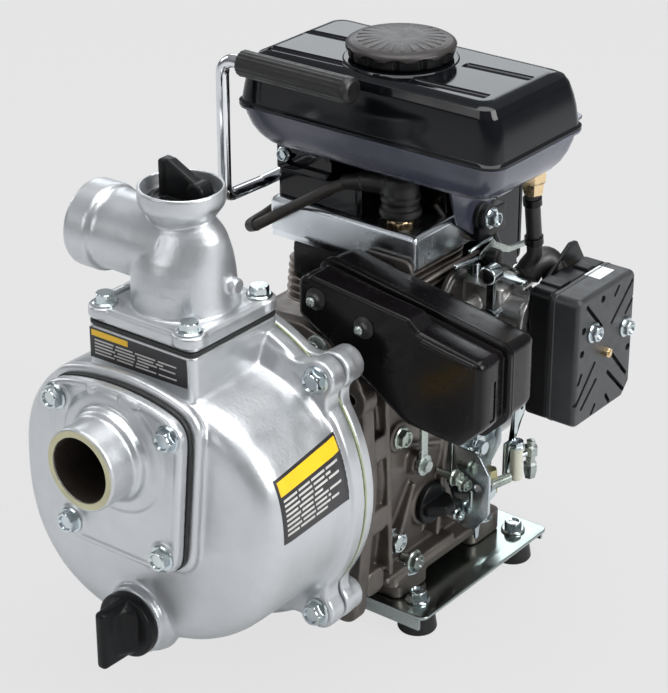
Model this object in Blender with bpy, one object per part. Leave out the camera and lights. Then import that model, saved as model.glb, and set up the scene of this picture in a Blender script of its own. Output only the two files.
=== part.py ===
"""Engine-driven 1.5 inch self-priming centrifugal water pump.

Each object is one physical piece.  The pump and engine share one shaft line
that runs along +Y; the suction port faces -Y (the front), the exhaust and the
air filter are on the +X side, and +Z is up.  Lengths below are millimetres,
measured from the centre of the suction port's face; SHIFT carries them to
the part's own origin, the middle of the footprint at floor level.
"""
import math
import bpy
import bmesh
from mathutils import Matrix, Vector

# ---------------------------------------------------------------- driving dimensions (mm)
FLOOR_Z = -168.0
SHIFT = (-29.2, -178.0, -FLOOR_Z)   # suction port centre -> middle of the footprint on the floor
PORT = (0, 0, 0)                    # centre of the suction port's face
SHAFT_Z = -41.0                     # height of the shaft line from the suction port's centre
SHAFT = (0, 0, SHAFT_Z)

PORT_R = 23.9                       # G 1 1/2 male thread, outside radius
PORT_BORE = 19.0
INLET_BOLTS = [(-40.5, 0, 21.5), (40.5, 0, 21.5), (33.5, 0, -53.5), (-33.5, 0, -53.5)]
BOLT_HOLE_R = 4.7                   # clearance holes of the inlet and casing bolts
BOLT_SHANK_R = 3.6

CASING_R = 95.0                     # casing barrel
RING_R = 98.0                       # joint ring between casing and back plate
EAR_PITCH_R = 104.0                 # pitch radius of the four casing bolts
EARS = [(side * EAR_PITCH_R * math.sqrt(0.5), 0, SHAFT_Z + rise * EAR_PITCH_R * math.sqrt(0.5))
        for side in (-1, 1) for rise in (-1, 1)]
RING_Y0, RING_Y1 = 111.5, 122.0     # the casing's joint ring
BACK_Y0, BACK_Y1 = 123.4, 149.7     # back plate, front face to engine face
DRAIN = (0, 0, -112)                # axis of the drain plug

NECK_Y = 88.0                       # Y of the discharge axis
NECK = (0, NECK_Y, 0)
NECK_HALF = 37.5
NECK_BORE = 27
DECK_Z = 57.0                       # deck the discharge elbow bolts to
PAD_X, PAD_Y = (-38, 38), (50.2, 122.2)     # foot of the elbow and its gasket
NECK_BOLTS = [(side * 30, sum(PAD_Y) / 2 + back * 29, 0) for side in (-1, 1) for back in (-1, 1)]
NECK_BOLT_R = 3.8
OUTLET_Z = 97.0                     # height of the discharge pipe's axis
CUP_TOP = 134.6

PLATE_TOP = -149.0
PLATE_X = 96.0
PLATE_Y0, PLATE_Y1 = 183.0, 318.0
FOOT_INSET = 16
FEET = [(x, y, 0) for y in (PLATE_Y0 + FOOT_INSET, PLATE_Y1 - FOOT_INSET)
        for x in (-PLATE_X + FOOT_INSET, PLATE_X - FOOT_INSET)]
BLOCK_BOLTS = [(side * 66, y, 0) for side in (-1, 1) for y in (206, 284)]

CRANK_Y = 246.0                     # middle of the crank throw
CRANK = (0, CRANK_Y, SHAFT_Z)
CYLINDER_TILT = math.radians(6.0)
BORE_R = 28.0
STROKE = 36.0
CROWN = 103.5                       # piston crown's distance from the shaft, along the bore
SPARK_X, SPARK_Y = 46.3, 222.5
SPARK = (SPARK_X, SPARK_Y, 0)
GOVERNOR = (0, 205, -60)            # axis of the governor arm
OIL = (0, 226, -98)                 # axis of the oil plug

CARB = (0, 262, 24)                 # axis of the intake passage
THROTTLE = (85, 262, 0)
CHOKE = (100, 0, 30)
LEVER = (0, 268, -76)               # pivot of the speed lever

TANK_X0, TANK_X1, TANK_Y0, TANK_Y1 = -41.0, 131.0, 182.0, 270.0    # seam outline of the fuel tank
TANK_CORNER = 10
TANK_WALL = 1.2
SEAM_Z = 145.5
LOWER_RIM = (SEAM_Z - 2.9, SEAM_Z - 1.3)
CAP_X, CAP_Y = 45.0, 223.0
CAP = (CAP_X, CAP_Y, 0)
HOSE_X, HOSE_Y = 113, 256.4         # where the fuel hose leaves the tank
HANDLE = (0, 168, 175.5)            # centre line of the carry handle's top run

FACETS = 0.5                        # fineness of the round parts
SHARP_ANGLE = math.radians(32)

for old in list(bpy.data.objects):
    bpy.data.objects.remove(old, do_unlink=True)
COLLECTION = bpy.context.scene.collection


# ---------------------------------------------------------------- materials
def material(name, color, roughness, metallic):
    made = bpy.data.materials.new(name)
    made.use_nodes = True
    shader = made.node_tree.nodes["Principled BSDF"]
    shader.inputs["Base Color"].default_value = (*color, 1.0)
    shader.inputs["Roughness"].default_value = roughness
    shader.inputs["Metallic"].default_value = metallic
    return made


SILVER = material("silver_paint", color=(0.55, 0.56, 0.57), roughness=0.38, metallic=0.7)
ZINC = material("zinc", color=(0.62, 0.66, 0.68), roughness=0.25, metallic=1.0)
CASTING = material("engine_casting", color=(0.20, 0.17, 0.155), roughness=0.5, metallic=0.6)
ENAMEL = material("black_enamel", color=(0.012, 0.012, 0.014), roughness=0.25, metallic=0.0)
PLASTIC = material("black_plastic", color=(0.02, 0.02, 0.022), roughness=0.45, metallic=0.0)
RUBBER = material("rubber", color=(0.015, 0.015, 0.015), roughness=0.7, metallic=0.0)
CHROME = material("chrome", color=(0.75, 0.75, 0.76), roughness=0.1, metallic=1.0)
IRON = material("cast_iron", color=(0.12, 0.12, 0.12), roughness=0.6, metallic=0.5)
CAP_PLASTIC = material("cap_plastic", color=(0.055, 0.05, 0.048), roughness=0.5, metallic=0.0)
FOAM = material("foam", color=(0.06, 0.06, 0.06), roughness=0.9, metallic=0.0)
CERAMIC = material("ceramic", color=(0.85, 0.83, 0.78), roughness=0.3, metallic=0.0)
STEEL = material("steel", color=(0.5, 0.5, 0.5), roughness=0.3, metallic=1.0)


# ---------------------------------------------------------------- flat outlines
def ring_points(radius, sides, phase=0.0):
    angles = [2 * math.pi * (i + phase) / sides for i in range(sides)]
    return [(radius * math.cos(a), radius * math.sin(a)) for a in angles]


def offset(points, grow):
    """Grows a closed outline (any direction of travel) along its vertex normals."""
    area = sum(p[0] * q[1] - q[0] * p[1] for p, q in zip(points, points[1:] + points[:1]))
    sign = 1.0 if area > 0 else -1.0
    out = []
    for i in range(len(points)):
        before, here = Vector(points[i - 1]), Vector(points[i])
        after = Vector(points[(i + 1) % len(points)])
        into, away = (here - before).normalized(), (after - here).normalized()
        normal = Vector((into.y, -into.x)) * sign
        miter = normal + Vector((away.y, -away.x)) * sign
        if miter.length > 1e-6:
            miter = miter / max(miter.length_squared, 1e-9) * 2
        else:
            miter = normal
        out.append((here.x + miter.x * grow, here.y + miter.y * grow))
    return out


def fillet(before, here, after, radius):
    """Centre of the arc that rounds a corner, and its two ends measured from that centre."""
    back, ahead = (before - here).normalized(), (after - here).normalized()
    return back, ahead


def rounded(corners, radii, steps=2):
    """A polygon whose corners are rounded to the given radii (one for all, or a list)."""
    if not hasattr(radii, "__len__"):
        radii = [radii] * len(corners)
    out = []
    for i, radius in enumerate(radii):
        before, here = Vector(corners[i - 1]), Vector(corners[i])
        after = Vector(corners[(i + 1) % len(corners)])
        if radius <= 0:
            out.append((here.x, here.y))
            continue
        back, ahead = (before - here).normalized(), (after - here).normalized()
        half = math.acos(max(-1, min(1, back.dot(ahead)))) / 2
        reach = min(radius / math.tan(half),
                    (before - here).length * 0.49, (after - here).length * 0.49)
        fitted = reach * math.tan(half)
        centre = here + (back + ahead).normalized() * (fitted / math.sin(half))
        start, end = here + back * reach - centre, here + ahead * reach - centre
        first, last = math.atan2(start.y, start.x), math.atan2(end.y, end.x)
        sweep = (last - first + math.pi) % (2 * math.pi) - math.pi
        for k in range(steps + 1):
            angle = first + sweep * k / steps
            out.append((centre.x + fitted * math.cos(angle), centre.y + fitted * math.sin(angle)))
    return out


def grown(corners, radii, grow, steps=2):
    """Moves the sharp polygon outward, then rounds its corners again."""
    return rounded(offset(corners, grow), [max(r + grow, 1.2) for r in radii], steps)


def rect(x0, x1, y0, y1, radius, steps=2):
    return rounded([(x0, y0), (x1, y0), (x1, y1), (x0, y1)], radius, steps)


def spoke(heading, inner, outer, inner_half, outer_half):
    """A radial bar from radius inner to outer, with its half width at each end."""
    out = Vector((math.cos(heading), math.sin(heading)))
    across = Vector((-out.y, out.x))
    corners = [out * inner - across * inner_half, out * outer - across * outer_half,
               out * outer + across * outer_half, out * inner + across * inner_half]
    return [(p.x, p.y) for p in corners]


# ---------------------------------------------------------------- solids
def place(axis, along, u, v, centre):
    """A point at a distance along the axis and (u, v) across it, from the centre."""
    x, y, z = centre
    if axis == "x":
        return Vector((x + along, y + u, z + v))
    if axis == "y":
        return Vector((x + u, y + along, z + v))
    return Vector((x + u, y + v, z + along))


def lifted(outline, along, axis="z", centre=PORT):
    return [place(axis, along, u, v, centre) for u, v in outline]


def skin(rings, closed=False, capped=False):
    """Skins rings of points; a ring of one point is a pole.  Closed joins the last ring to
    the first, capped fills both end rings."""
    mesh = bmesh.new()
    rows = [[mesh.verts.new(p) for p in ring] for ring in rings]
    count = max(len(row) for row in rows)
    pairs = list(zip(rows, rows[1:]))
    if closed:
        pairs.append((rows[-1], rows[0]))
    for near, far in pairs:
        for i in range(count):
            j = (i + 1) % count
            if len(near) == 1:
                mesh.faces.new((near[0], far[j], far[i]))
            elif len(far) == 1:
                mesh.faces.new((near[i], near[j], far[0]))
            else:
                mesh.faces.new((near[i], near[j], far[j], far[i]))
    if capped:
        mesh.faces.new(rows[0][::-1])
        mesh.faces.new(rows[-1])
    return mesh


def loft(loops):
    return skin(loops, capped=True)


def turned_rings(profile, axis, centre, sides):
    phase = 0.0
    if sides > 8:
        sides = max(8, 2 * round(sides * FACETS / 2))
        phase = 0.11 + 0.07 * (sides % 6)   # facets of neighbouring rounds never line up
    return [lifted(ring_points(radius, sides, phase), along, axis, centre)
            for along, radius in profile]


def turned(profile, axis, centre, sides):
    """A solid of revolution from (along, radius) points, closed flat at both ends."""
    rings = turned_rings(profile, axis, centre, sides)
    first, last = [place(axis, end[0], 0, 0, centre) for end in (profile[0], profile[-1])]
    return skin([[first], *rings, [last]])


def turned_ring(profile, axis, centre, sides):
    """A ring whose section is the closed polygon of (along, radius) points."""
    return skin(turned_rings(profile, axis, centre, sides), closed=True)


def rod(radius, start, end, axis, centre, sides=24):
    return turned([(start, radius), (end, radius)], axis, centre, sides)


def hex_rod(across_flats, start, end, axis, centre):
    return rod(across_flats / math.sqrt(3), start, end, axis, centre, 6)


def prism(outline, start, end, axis="y", centre=PORT, chamfer=0.0):
    """An outline carried from start to end along the axis, with chamfered rims."""
    if not chamfer:
        return loft([lifted(outline, along, axis, centre) for along in (start, end)])
    small = offset(outline, -chamfer)
    stations = [(small, start), (outline, start + chamfer), (outline, end - chamfer), (small, end)]
    return loft([lifted(points, along, axis, centre) for points, along in stations])


def box(x_span, y_span, z_span, radius=0.0, axis="z"):
    """A block whose edges along the axis are rounded."""
    if axis == "z":
        return prism(rect(*x_span, *y_span, radius), *z_span, "z")
    if axis == "y":
        return prism(rect(*x_span, *z_span, radius), *y_span, "y")
    return prism(rect(*y_span, *z_span, radius), *x_span, "x")


def tube(path, radius, sides):
    """A round bar along a polyline."""
    points = [Vector(p) for p in path]
    rings = []
    up = None
    for i, point in enumerate(points):
        ahead = (points[min(i + 1, len(points) - 1)] - points[max(i - 1, 0)]).normalized()
        if up is None:
            up = ahead.orthogonal().normalized()
        up = (up - ahead * up.dot(ahead)).normalized()
        side = ahead.cross(up)
        rings.append([point + up * u + side * v for u, v in ring_points(radius, sides)])
    return loft(rings)


def bend(corners, radius, steps=3):
    """A 3-D polyline with its inner corners rounded."""
    points = [Vector(p) for p in corners]
    out = [points[0]]
    for before, here, after in zip(points, points[1:], points[2:]):
        back, ahead = (before - here).normalized(), (after - here).normalized()
        half = back.angle(ahead) / 2
        reach = min(radius / math.tan(half),
                    (before - here).length * 0.49, (after - here).length * 0.49)
        fitted = reach * math.tan(half)
        centre = here + (back + ahead).normalized() * (fitted / math.sin(half))
        start, end = here + back * reach - centre, here + ahead * reach - centre
        sweep = start.angle(end)
        for k in range(steps + 1):
            part = k / steps
            arm = start * math.sin((1 - part) * sweep) + end * math.sin(part * sweep)
            out.append(centre + arm / math.sin(sweep))
    out.append(points[-1])
    return out


def turn(mesh, angle, axis, centre):
    bmesh.ops.rotate(mesh, verts=mesh.verts, cent=Vector(centre),
                     matrix=Matrix.Rotation(angle, 3, axis))
    return mesh


def tilt(mesh, direction=1):
    """Leans a mesh about the crank, from upright to the cylinder's axis."""
    return turn(mesh, direction * CYLINDER_TILT, "Y", CRANK)


ADD, CUT = "UNION", "DIFFERENCE"


def holes(centres, radius, start, end, axis, sides=8):
    return [(CUT, rod(radius, start, end, axis, centre, sides)) for centre in centres]


def combine(base, steps):
    """Applies (operation, bmesh) steps to a bmesh, one Boolean modifier at a time."""
    work = base
    for operation, tool in steps:
        pair = []
        for source in (work, tool):
            bmesh.ops.recalc_face_normals(source, faces=source.faces)
            data = bpy.data.meshes.new("work")
            source.to_mesh(data)
            source.free()
            helper = bpy.data.objects.new("work", data)
            COLLECTION.objects.link(helper)
            pair.append(helper)
        modifier = pair[0].modifiers.new("cut", "BOOLEAN")
        modifier.operation = operation
        modifier.solver = "EXACT"
        modifier.object = pair[1]
        depsgraph = bpy.context.evaluated_depsgraph_get()
        work = bmesh.new()
        work.from_mesh(bpy.data.meshes.new_from_object(pair[0].evaluated_get(depsgraph)))
        bmesh.ops.remove_doubles(work, verts=work.verts, dist=0.002)
        bmesh.ops.dissolve_degenerate(work, edges=work.edges, dist=0.001)
        for helper in pair:
            bpy.data.objects.remove(helper, do_unlink=True)
    return work


def finish(mesh, name, surface, origin=PORT):
    """Writes a bmesh given in millimetres to an object whose origin sits at `origin`."""
    bmesh.ops.recalc_face_normals(mesh, faces=mesh.faces)
    pivot = Vector(origin)
    for vert in mesh.verts:
        vert.co = (vert.co - pivot) * 0.001
    data = bpy.data.meshes.new(name)
    mesh.to_mesh(data)
    mesh.free()
    piece = bpy.data.objects.new(name, data)
    piece.location = (pivot + Vector(SHIFT)) * 0.001
    data.materials.append(surface)
    COLLECTION.objects.link(piece)
    data.shade_smooth()
    data.set_sharp_from_angle(angle=SHARP_ANGLE)


# ================================================================= pump inlet
def flange_outline(grow=0.0):
    """Suction flange: an arched top edge, rounded corners and sides that taper to the bottom."""
    top = 32.5
    base = rounded([(-50, top), (50, top), (41.8, -65), (-41.8, -65)], [13, 13, 12, 12])
    arch = [(x, top + 5.2 * (1 - (x / 39.0) ** 2)) for x in (-32, -21, -10, 0, 10, 21, 32)]
    outline = base[:3] + arch + base[3:]    # the first corner takes three points
    return offset(outline, grow) if grow else outline


def inlet_flange():
    pipe = [(0, PORT_R - 1), (1, PORT_R), (16.5, PORT_R), (18.5, 26.5), (21.5, 27.5),
            (22.3, 31.5), (25, 36), (30, 36)]
    steps = [(ADD, turned(pipe, "y", PORT, 36)), (CUT, rod(PORT_BORE, -5, 40, "y", PORT, 32))]
    steps += [(ADD, rod(8.5, 26, 30, "y", centre, 20)) for centre in INLET_BOLTS]
    steps += holes(INLET_BOLTS, BOLT_HOLE_R, 20, 40, "y")
    finish(combine(prism(flange_outline(), 27, 33, chamfer=0.8), steps), "inlet_flange", SILVER)


def inlet_gasket():
    steps = [(CUT, rod(28, 30, 40, "y", PORT, 28))]
    steps += holes(INLET_BOLTS, BOLT_HOLE_R, 30, 40, "y")
    finish(combine(prism(flange_outline(0.3), 33.3, 35.7), steps), "inlet_gasket", RUBBER)


def inlet_flap():
    """Non-return flap: a disc with a weight on its inner face, hung from its top edge."""
    disc = turned([(33.5, 24), (36.5, 24), (36.5, 15), (40, 14)], "y", PORT, 28)
    tab = box((-8.5, 8.5), (33.55, 36.4), (12, 25))
    finish(combine(disc, [(ADD, tab)]), "inlet_flap", RUBBER, (0, 35, 24))


def flanged_bolts(name, centres, head, collar, collar_r, tip):
    """Bolts along Y: hexagon head, collar under it, shank to the tip."""
    for i, centre in enumerate(centres):
        shank = turned([(collar[0], collar_r), (collar[1], collar_r), (collar[1], BOLT_SHANK_R),
                        (tip, BOLT_SHANK_R)], "y", centre, 14)
        bolt = combine(hex_rod(12, *head, "y", centre), [(ADD, shank)])
        finish(bolt, "%s_%d" % (name, i + 1), ZINC)


def inlet_bolts():
    flanged_bolts("inlet_bolt", INLET_BOLTS, head=(19.5, 24.5), collar=(24, 25.7),
                  collar_r=8.2, tip=50)


# ================================================================= pump casing
# (y, radius) down the drum's outside and inside, before its section is squared
BELL = [(41.5, 70), (42.7, 81), (45.6, 88.6), (50.2, 92.6), (57.6, 94.8), (80, CASING_R),
        (104, CASING_R), (RING_Y0, CASING_R), (RING_Y0 + 0.8, RING_R), (RING_Y1, RING_R)]
HOLLOW = [(45.8, 60), (46.6, 70), (49.5, 79), (54, 85), (60, 88.5), (70, 90), (104, 90),
          (110, 89.6), (125, 89.6)]


def section(heading, y):
    """The drum's radius at a heading as a share of the circle's: squarer than a circle and
    lower above the shaft than beside it, and round again at the joint ring."""
    cosine, sine = abs(math.cos(heading)), abs(math.sin(heading))
    if math.sin(heading) >= 0:
        height, power = 75.7, 2.6
    else:
        height, power = 85.0, (2.0 if math.cos(heading) >= 0 else 2.4)
    radius = ((cosine / CASING_R) ** power + (sine / height) ** power) ** (-1 / power)
    blend = min(1.0, max(0.0, (y - 102.0) / 9.0))
    blend = blend * blend * (3 - 2 * blend)
    return (radius / CASING_R) * (1 - blend) + blend


def drum(profile, sides):
    headings = [2 * math.pi * (i + 0.17) / sides for i in range(sides)]
    rings = [[(0, profile[0][0], SHAFT_Z)]]
    for y, radius in profile:
        rings.append([(radius * section(t, y) * math.cos(t), y,
                       SHAFT_Z + radius * section(t, y) * math.sin(t)) for t in headings])
    rings.append([(0, profile[-1][0], SHAFT_Z)])
    return skin(rings)


def ear(centre, start, end, radius=11.0):
    """A bolt ear: a round eye faired into the joint ring."""
    x, _, z = centre
    heading = math.atan2(z - SHAFT_Z, x)
    points = []
    for k in range(6):
        angle = heading - math.pi / 2 + math.pi * k / 5
        points.append((x + radius * math.cos(angle), z + radius * math.sin(angle)))
    for lean in (0.27, -0.27):
        points.append((96 * math.cos(heading + lean), SHAFT_Z + 96 * math.sin(heading + lean)))
    return prism(points, start, end)


def pump_casing():
    seat = prism(flange_outline(4.4), 36, 43.5, chamfer=1.0)
    neck = box((-NECK_HALF, NECK_HALF), (50.5, 121.8), (5, DECK_Z), 3)
    drain_boss = turned([(35.5, 19.5), (37, 20.5), (50, 20.5)], "y", DRAIN, 24)
    steps = [(ADD, seat), (ADD, neck)]
    steps += [(ADD, ear(centre, 110, RING_Y1)) for centre in EARS]
    steps += [(ADD, drain_boss),
              (CUT, drum(HOLLOW, 36)),
              (CUT, rod(30, 30, 75, "y", PORT, 28)),
              (CUT, rod(NECK_BORE, -5, 70, "z", NECK, 28)),
              (CUT, rod(12.8, 30, 70, "y", DRAIN, 24)),
              (CUT, box((-120, 120), (100, 130), (DECK_Z, 80)))]
    # the lower inlet bolts need bosses inside the drum
    steps += [(ADD, rod(8.5, 43, 53.5, "y", centre, 14)) for centre in INLET_BOLTS[2:]]
    steps += holes(INLET_BOLTS, BOLT_HOLE_R, 30, 52, "y")
    steps += holes(EARS, BOLT_HOLE_R, 100, 130, "y")
    steps += holes(NECK_BOLTS, NECK_BOLT_R, 40, 70, "z")
    finish(combine(drum(BELL, 44), steps), "pump_casing", SILVER)


def drain_plug():
    """A disc and shank that screw into the low boss, with a wing to turn it by."""
    body = [(28.5, 18.5), (29.5, 19.5), (34.5, 19.5), (35.2, 18.8), (35.2, 11), (52, 11)]
    wing = prism(rounded([(-3.8, 31), (-3.8, 8), (3.8, 8), (3.8, 31)], [0, 2.5, 2.5, 0]),
                 -18.2, 18.2, "z", DRAIN)
    finish(combine(turned(body, "y", DRAIN, 24), [(ADD, wing)]), "drain_plug", PLASTIC,
           (0, 35, DRAIN[2]))


# ================================================================= discharge
def discharge_gasket():
    steps = [(CUT, rod(NECK_BORE, 50, 70, "z", NECK, 28))]
    steps += holes(NECK_BOLTS, NECK_BOLT_R, 50, 70, "z")
    finish(combine(box(PAD_X, PAD_Y, (57.3, 59.5), 4), steps), "discharge_gasket", RUBBER)


def discharge_elbow():
    """A pear-shaped body with the outlet pipe to -X and the priming cup on top."""
    pear = [(60, 30.8), (70, 30.3), (80, 30.6), (88, 31), (95, 29.8), (102, 26.6),
            (108, 21.5), (112, 18)]
    outlet = [(-66, 24), (-65, 25), (-50, 25), (-47, 22.5), (0, 22.5)]
    cup = [(104, 15.5), (110, 17.2), (115, 19.4), (120.4, 23.8), (CUP_TOP - 0.6, 23.8),
           (CUP_TOP, 23.2)]
    outlet_centre = (0, NECK_Y, OUTLET_Z)
    steps = [(ADD, turned(pear, "z", NECK, 32)),
             (ADD, turned(outlet, "x", outlet_centre, 28)),
             (ADD, turned(cup, "z", NECK, 32)),
             (CUT, rod(22, 50, 98, "z", NECK, 28)),
             (CUT, rod(18.5, -75, 2, "x", outlet_centre, 24)),
             (CUT, rod(14.5, 90, 130, "z", NECK, 24)),
             (CUT, turned([(122.5, 21.2), (140, 22)], "z", NECK, 32))]
    steps += holes(NECK_BOLTS, NECK_BOLT_R, 50, 80, "z")
    pad = prism(rect(*PAD_X, *PAD_Y, 4), 59.8, 68.5, "z", chamfer=0.8)
    finish(combine(pad, steps), "discharge_elbow", SILVER)


def priming_cap():
    """A plug in the cup with an upright wing."""
    plug = [(108, 13.2), (122.8, 13.2), (122.8, 18.5), (127, 18.5), (128, 17.5)]
    wing = rounded([(-17.5, 126), (17, 126), (17.5, 138), (4, 143), (-10, 151), (-17.5, 151)],
                   [0, 0, 4, 6, 3, 3])
    finish(combine(turned(plug, "z", NECK, 24), [(ADD, prism(wing, -3.2, 3.2, "y", NECK))]),
           "priming_cap", PLASTIC, (0, NECK_Y, 122))


# ================================================================= pump internals
def volute():
    """Inner volute with its suction eye."""
    shell = [(80.5, 22.5), (84, 23), (85.5, 60), (90, 63), (118.5, 63), (118.5, 68), (122.5, 68)]
    steps = [(CUT, turned([(88.5, 54), (92, 58.5), (125, 58.5)], "y", SHAFT, 32)),
             (CUT, rod(17.5, 70, 95, "y", SHAFT, 24)),
             (CUT, box((-8, 46), (94.6, 115.3), (1.3, 40)))]
    finish(combine(turned(shell, "y", SHAFT, 32), steps), "volute", IRON)


def blade(heading):
    """An impeller blade that sweeps back as it goes outward."""
    one_side, other_side = [], []
    for j in range(7):
        part = j / 6
        radius = 11 + 41.5 * part
        angle = heading - 1.15 * part
        half = 1.6 / radius
        one_side.append((radius * math.cos(angle - half), radius * math.sin(angle - half)))
        other_side.append((radius * math.cos(angle + half), radius * math.sin(angle + half)))
    return prism(one_side + other_side[::-1], 90.5, 100, "y", SHAFT)


def impeller():
    disc = turned([(99, 53), (102.5, 53), (103.5, 14), (113, 13)], "y", SHAFT, 32)
    nose = turned([(92, 8), (94, 12.5), (100, 13)], "y", SHAFT, 20)
    steps = [(ADD, nose)]
    steps += [(ADD, blade(2 * math.pi * k / 5)) for k in range(5)]
    steps.append((CUT, rod(9.3, 96, 120, "y", SHAFT, 16)))
    finish(combine(disc, steps), "impeller", IRON, SHAFT)


def shaft_seal():
    head = [(113.4, 9.1), (113.4, 14), (116, 15.5), (120, 15.5), (120, 9.1)]
    finish(turned_ring(head, "y", SHAFT, 20), "seal_head", RUBBER, SHAFT)
    seat = [(120.4, 9.2), (120.4, 15.2), (127.5, 15.2), (127.5, 9.2)]
    finish(turned_ring(seat, "y", SHAFT, 20), "seal_seat", CERAMIC)


def casing_gasket():
    ring = [(122.3, 90), (122.3, 98.6), (123.1, 98.6), (123.1, 90)]
    deck_cut = box((-60, 60), (120, 125), (DECK_Z - 0.6, 80))
    finish(combine(turned_ring(ring, "y", SHAFT, 44), [(CUT, deck_cut)]), "casing_gasket", RUBBER)


def back_plate():
    disc = [(BACK_Y0, RING_R - 0.8), (131, RING_R - 0.8), (133.5, 94), (134, 70), (138, 62),
            (BACK_Y1, 60)]
    boss = [(BACK_Y0, 10.6), (138.5, 10.2), (139.3, 9.2)]
    steps = []
    for centre in EARS:
        steps.append((ADD, ear(centre, BACK_Y0, 131.5)))
        steps.append((ADD, turned(boss, "y", centre, 20)))
    seal_bore = [(120, 16.3), (128, 16.3), (128, 10.5), (160, 10.5)]
    steps.append((CUT, turned(seal_bore, "y", SHAFT, 24)))
    groove = [(137, 24), (137, 48), (155, 52), (155, 24)]
    steps.append((CUT, turned_ring(groove, "y", SHAFT, 32)))
    steps.append((CUT, box((-60, 60), (110, 140), (DECK_Z - 0.6, 80))))
    steps += holes(EARS, BOLT_HOLE_R, 110, 136.2, "y")
    finish(combine(turned(disc, "y", SHAFT, 44), steps), "back_plate", SILVER)


def casing_bolts():
    flanged_bolts("casing_bolt", EARS, head=(101.3, 107.3), collar=(107.2, 109.7),
                  collar_r=8.4, tip=135)


# ================================================================= engine block
def crankcase_cover():
    outline = rounded([(-74, 20), (74, 20), (78, -60), (70, -147.5), (-70, -147.5), (-78, -60)],
                      [16, 16, 20, 10, 10, 20])
    bolts = [(side * 61, 0, z) for side in (-1, 1) for z in (6, -132)]
    steps = [(CUT, rod(14.5, 140, 170, "y", SHAFT))] + holes(bolts, 3.6, 140, 170, "y", 10)
    finish(combine(prism(outline, 150, 160.5, chamfer=1.0), steps), "crankcase_cover", CASTING)


def crankcase():
    outline = rounded([(-66, -2), (66, -2), (70, -60), (60, -138), (-60, -138), (-70, -60)],
                      [12, 12, 26, 12, 12, 26])
    steps = [(ADD, box((-72, 72), y_span, (-148.6, -136), 5)) for y_span in ((190, 222), (268, 300))]
    steps += [(ADD, rod(15, 55, 67.5, "x", OIL, 20)),
              (ADD, rod(7, 66, 76, "x", GOVERNOR, 14)),
              (CUT, box((-54, 54), (150, 290), (-128, -10))),
              (CUT, rod(14.3, 280, 310, "y", SHAFT, 20)),
              (CUT, rod(11, 40, 80, "x", OIL, 20)),
              (CUT, tilt(rod(36.8, -5, 70, "z", CRANK, 28)))]
    steps += holes(BLOCK_BOLTS, 4, -160, -130, "z", 10)
    finish(combine(prism(outline, 160.9, 300, chamfer=1.2), steps), "crankcase", CASTING)


# The cylinder, its head and the piston are made upright on the crank, then leaned over.
HEAD_RECT = (-37, 45, -35.5, 35.5, 8)     # x and y limits of the head joint, corner radius


def cylinder():
    """The barrel with rounded plates threaded on it as fins."""
    barrel = [(30, 34.3), (46, 34.3), (46.5, 36), (104.5, 36)]
    steps = []
    for k in range(5):
        low = 57 + 8 * k
        half = 39 if low < 80 else 35.5       # the upper fins sit inside the shroud
        fin = rect(-37, 46, -half, half, 8, 1)
        steps.append((ADD, prism(fin, low, low + 3, "z", CRANK)))
    steps.append((ADD, prism(rect(*HEAD_RECT, 1), 98, 104.5, "z", CRANK)))
    steps.append((CUT, rod(BORE_R, 20, 110, "z", CRANK, 36)))
    finish(tilt(combine(turned(barrel, "z", CRANK, 32), steps)), "cylinder", CASTING)


def cylinder_head():
    plug_hole = tilt(rod(5.8, 40, 130, "z", SPARK, 16), -1)    # vertical once leaned
    plate = prism(rect(*HEAD_RECT), 104.9, 113.0, "z", CRANK)
    finish(tilt(combine(plate, [(CUT, plug_hole)])), "cylinder_head", CASTING)


def piston():
    """Open underneath, with a cross hole for its pin."""
    body = [(CROWN - 34, BORE_R - 1.2), (CROWN - 1, BORE_R - 1.2), (CROWN, BORE_R - 2)]
    steps = [(CUT, rod(BORE_R - 4.5, CROWN - 50, CROWN - 6, "z", CRANK)),
             (CUT, rod(6, -40, 40, "y", (0, CRANK_Y, SHAFT_Z + CROWN - 18), 14))]
    bore_axis = Vector((math.sin(CYLINDER_TILT), 0, math.cos(CYLINDER_TILT)))
    finish(tilt(combine(turned(body, "z", CRANK, 32), steps)), "piston", STEEL,
           Vector(CRANK) + bore_axis * (CROWN - 17))


def crankshaft():
    """One forging with webs, crankpin and the pump's stub."""
    front = [(97, 8), (150, 8), (151, 12), (200, 12), (200, 14), (228, 14), (228, 30), (237, 30)]
    rear = [(255, 30), (264, 30), (264, 14), (276, 14), (276, 12), (306, 12), (327, 9),
            (328, 6), (338, 6)]
    steps = [(ADD, rod(9.5, 236, 256, "y", (STROKE / 2, 0, SHAFT_Z), 20)),
             (ADD, turned(rear, "y", SHAFT, 24))]
    finish(combine(turned(front, "y", SHAFT, 24), steps), "crankshaft", STEEL, SHAFT)


# ================================================================= flywheel end
def flywheel():
    """A disc with cooling fan vanes on its rear face and a tapered bore."""
    steps = [(ADD, prism(spoke(2 * math.pi * k / 10, 36, 60, 1.2, 1.2), 316, 327, "y", SHAFT))
             for k in range(10)]
    bore = [(300, 13.6), (306, 13.6), (327.3, 10.6), (330, 10.6)]
    steps.append((CUT, turned(bore, "y", SHAFT, 20)))
    finish(combine(rod(62, 305.5, 317, "y", SHAFT, 32), steps), "flywheel", CASTING, SHAFT)


def fan_housing():
    """A sheet cup round the flywheel that ducts its air up to the cylinder."""
    steps = [(ADD, box((-40, 58), (300.6, 329.6), (0, 78), 6, "y")),
             (CUT, rod(76, 302.6, 340, "y", SHAFT, 40)),
             (CUT, box((-38, 56), (303.1, 345), (0.7, 76), 4, "y")),
             (CUT, rod(26, 290, 310, "y", SHAFT)),
             (CUT, box((-30, 48), (290, 312), (26, 70), 0, "y"))]
    finish(combine(rod(78, 300.6, 329.6, "y", SHAFT, 40), steps), "fan_housing", ENAMEL)


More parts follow.
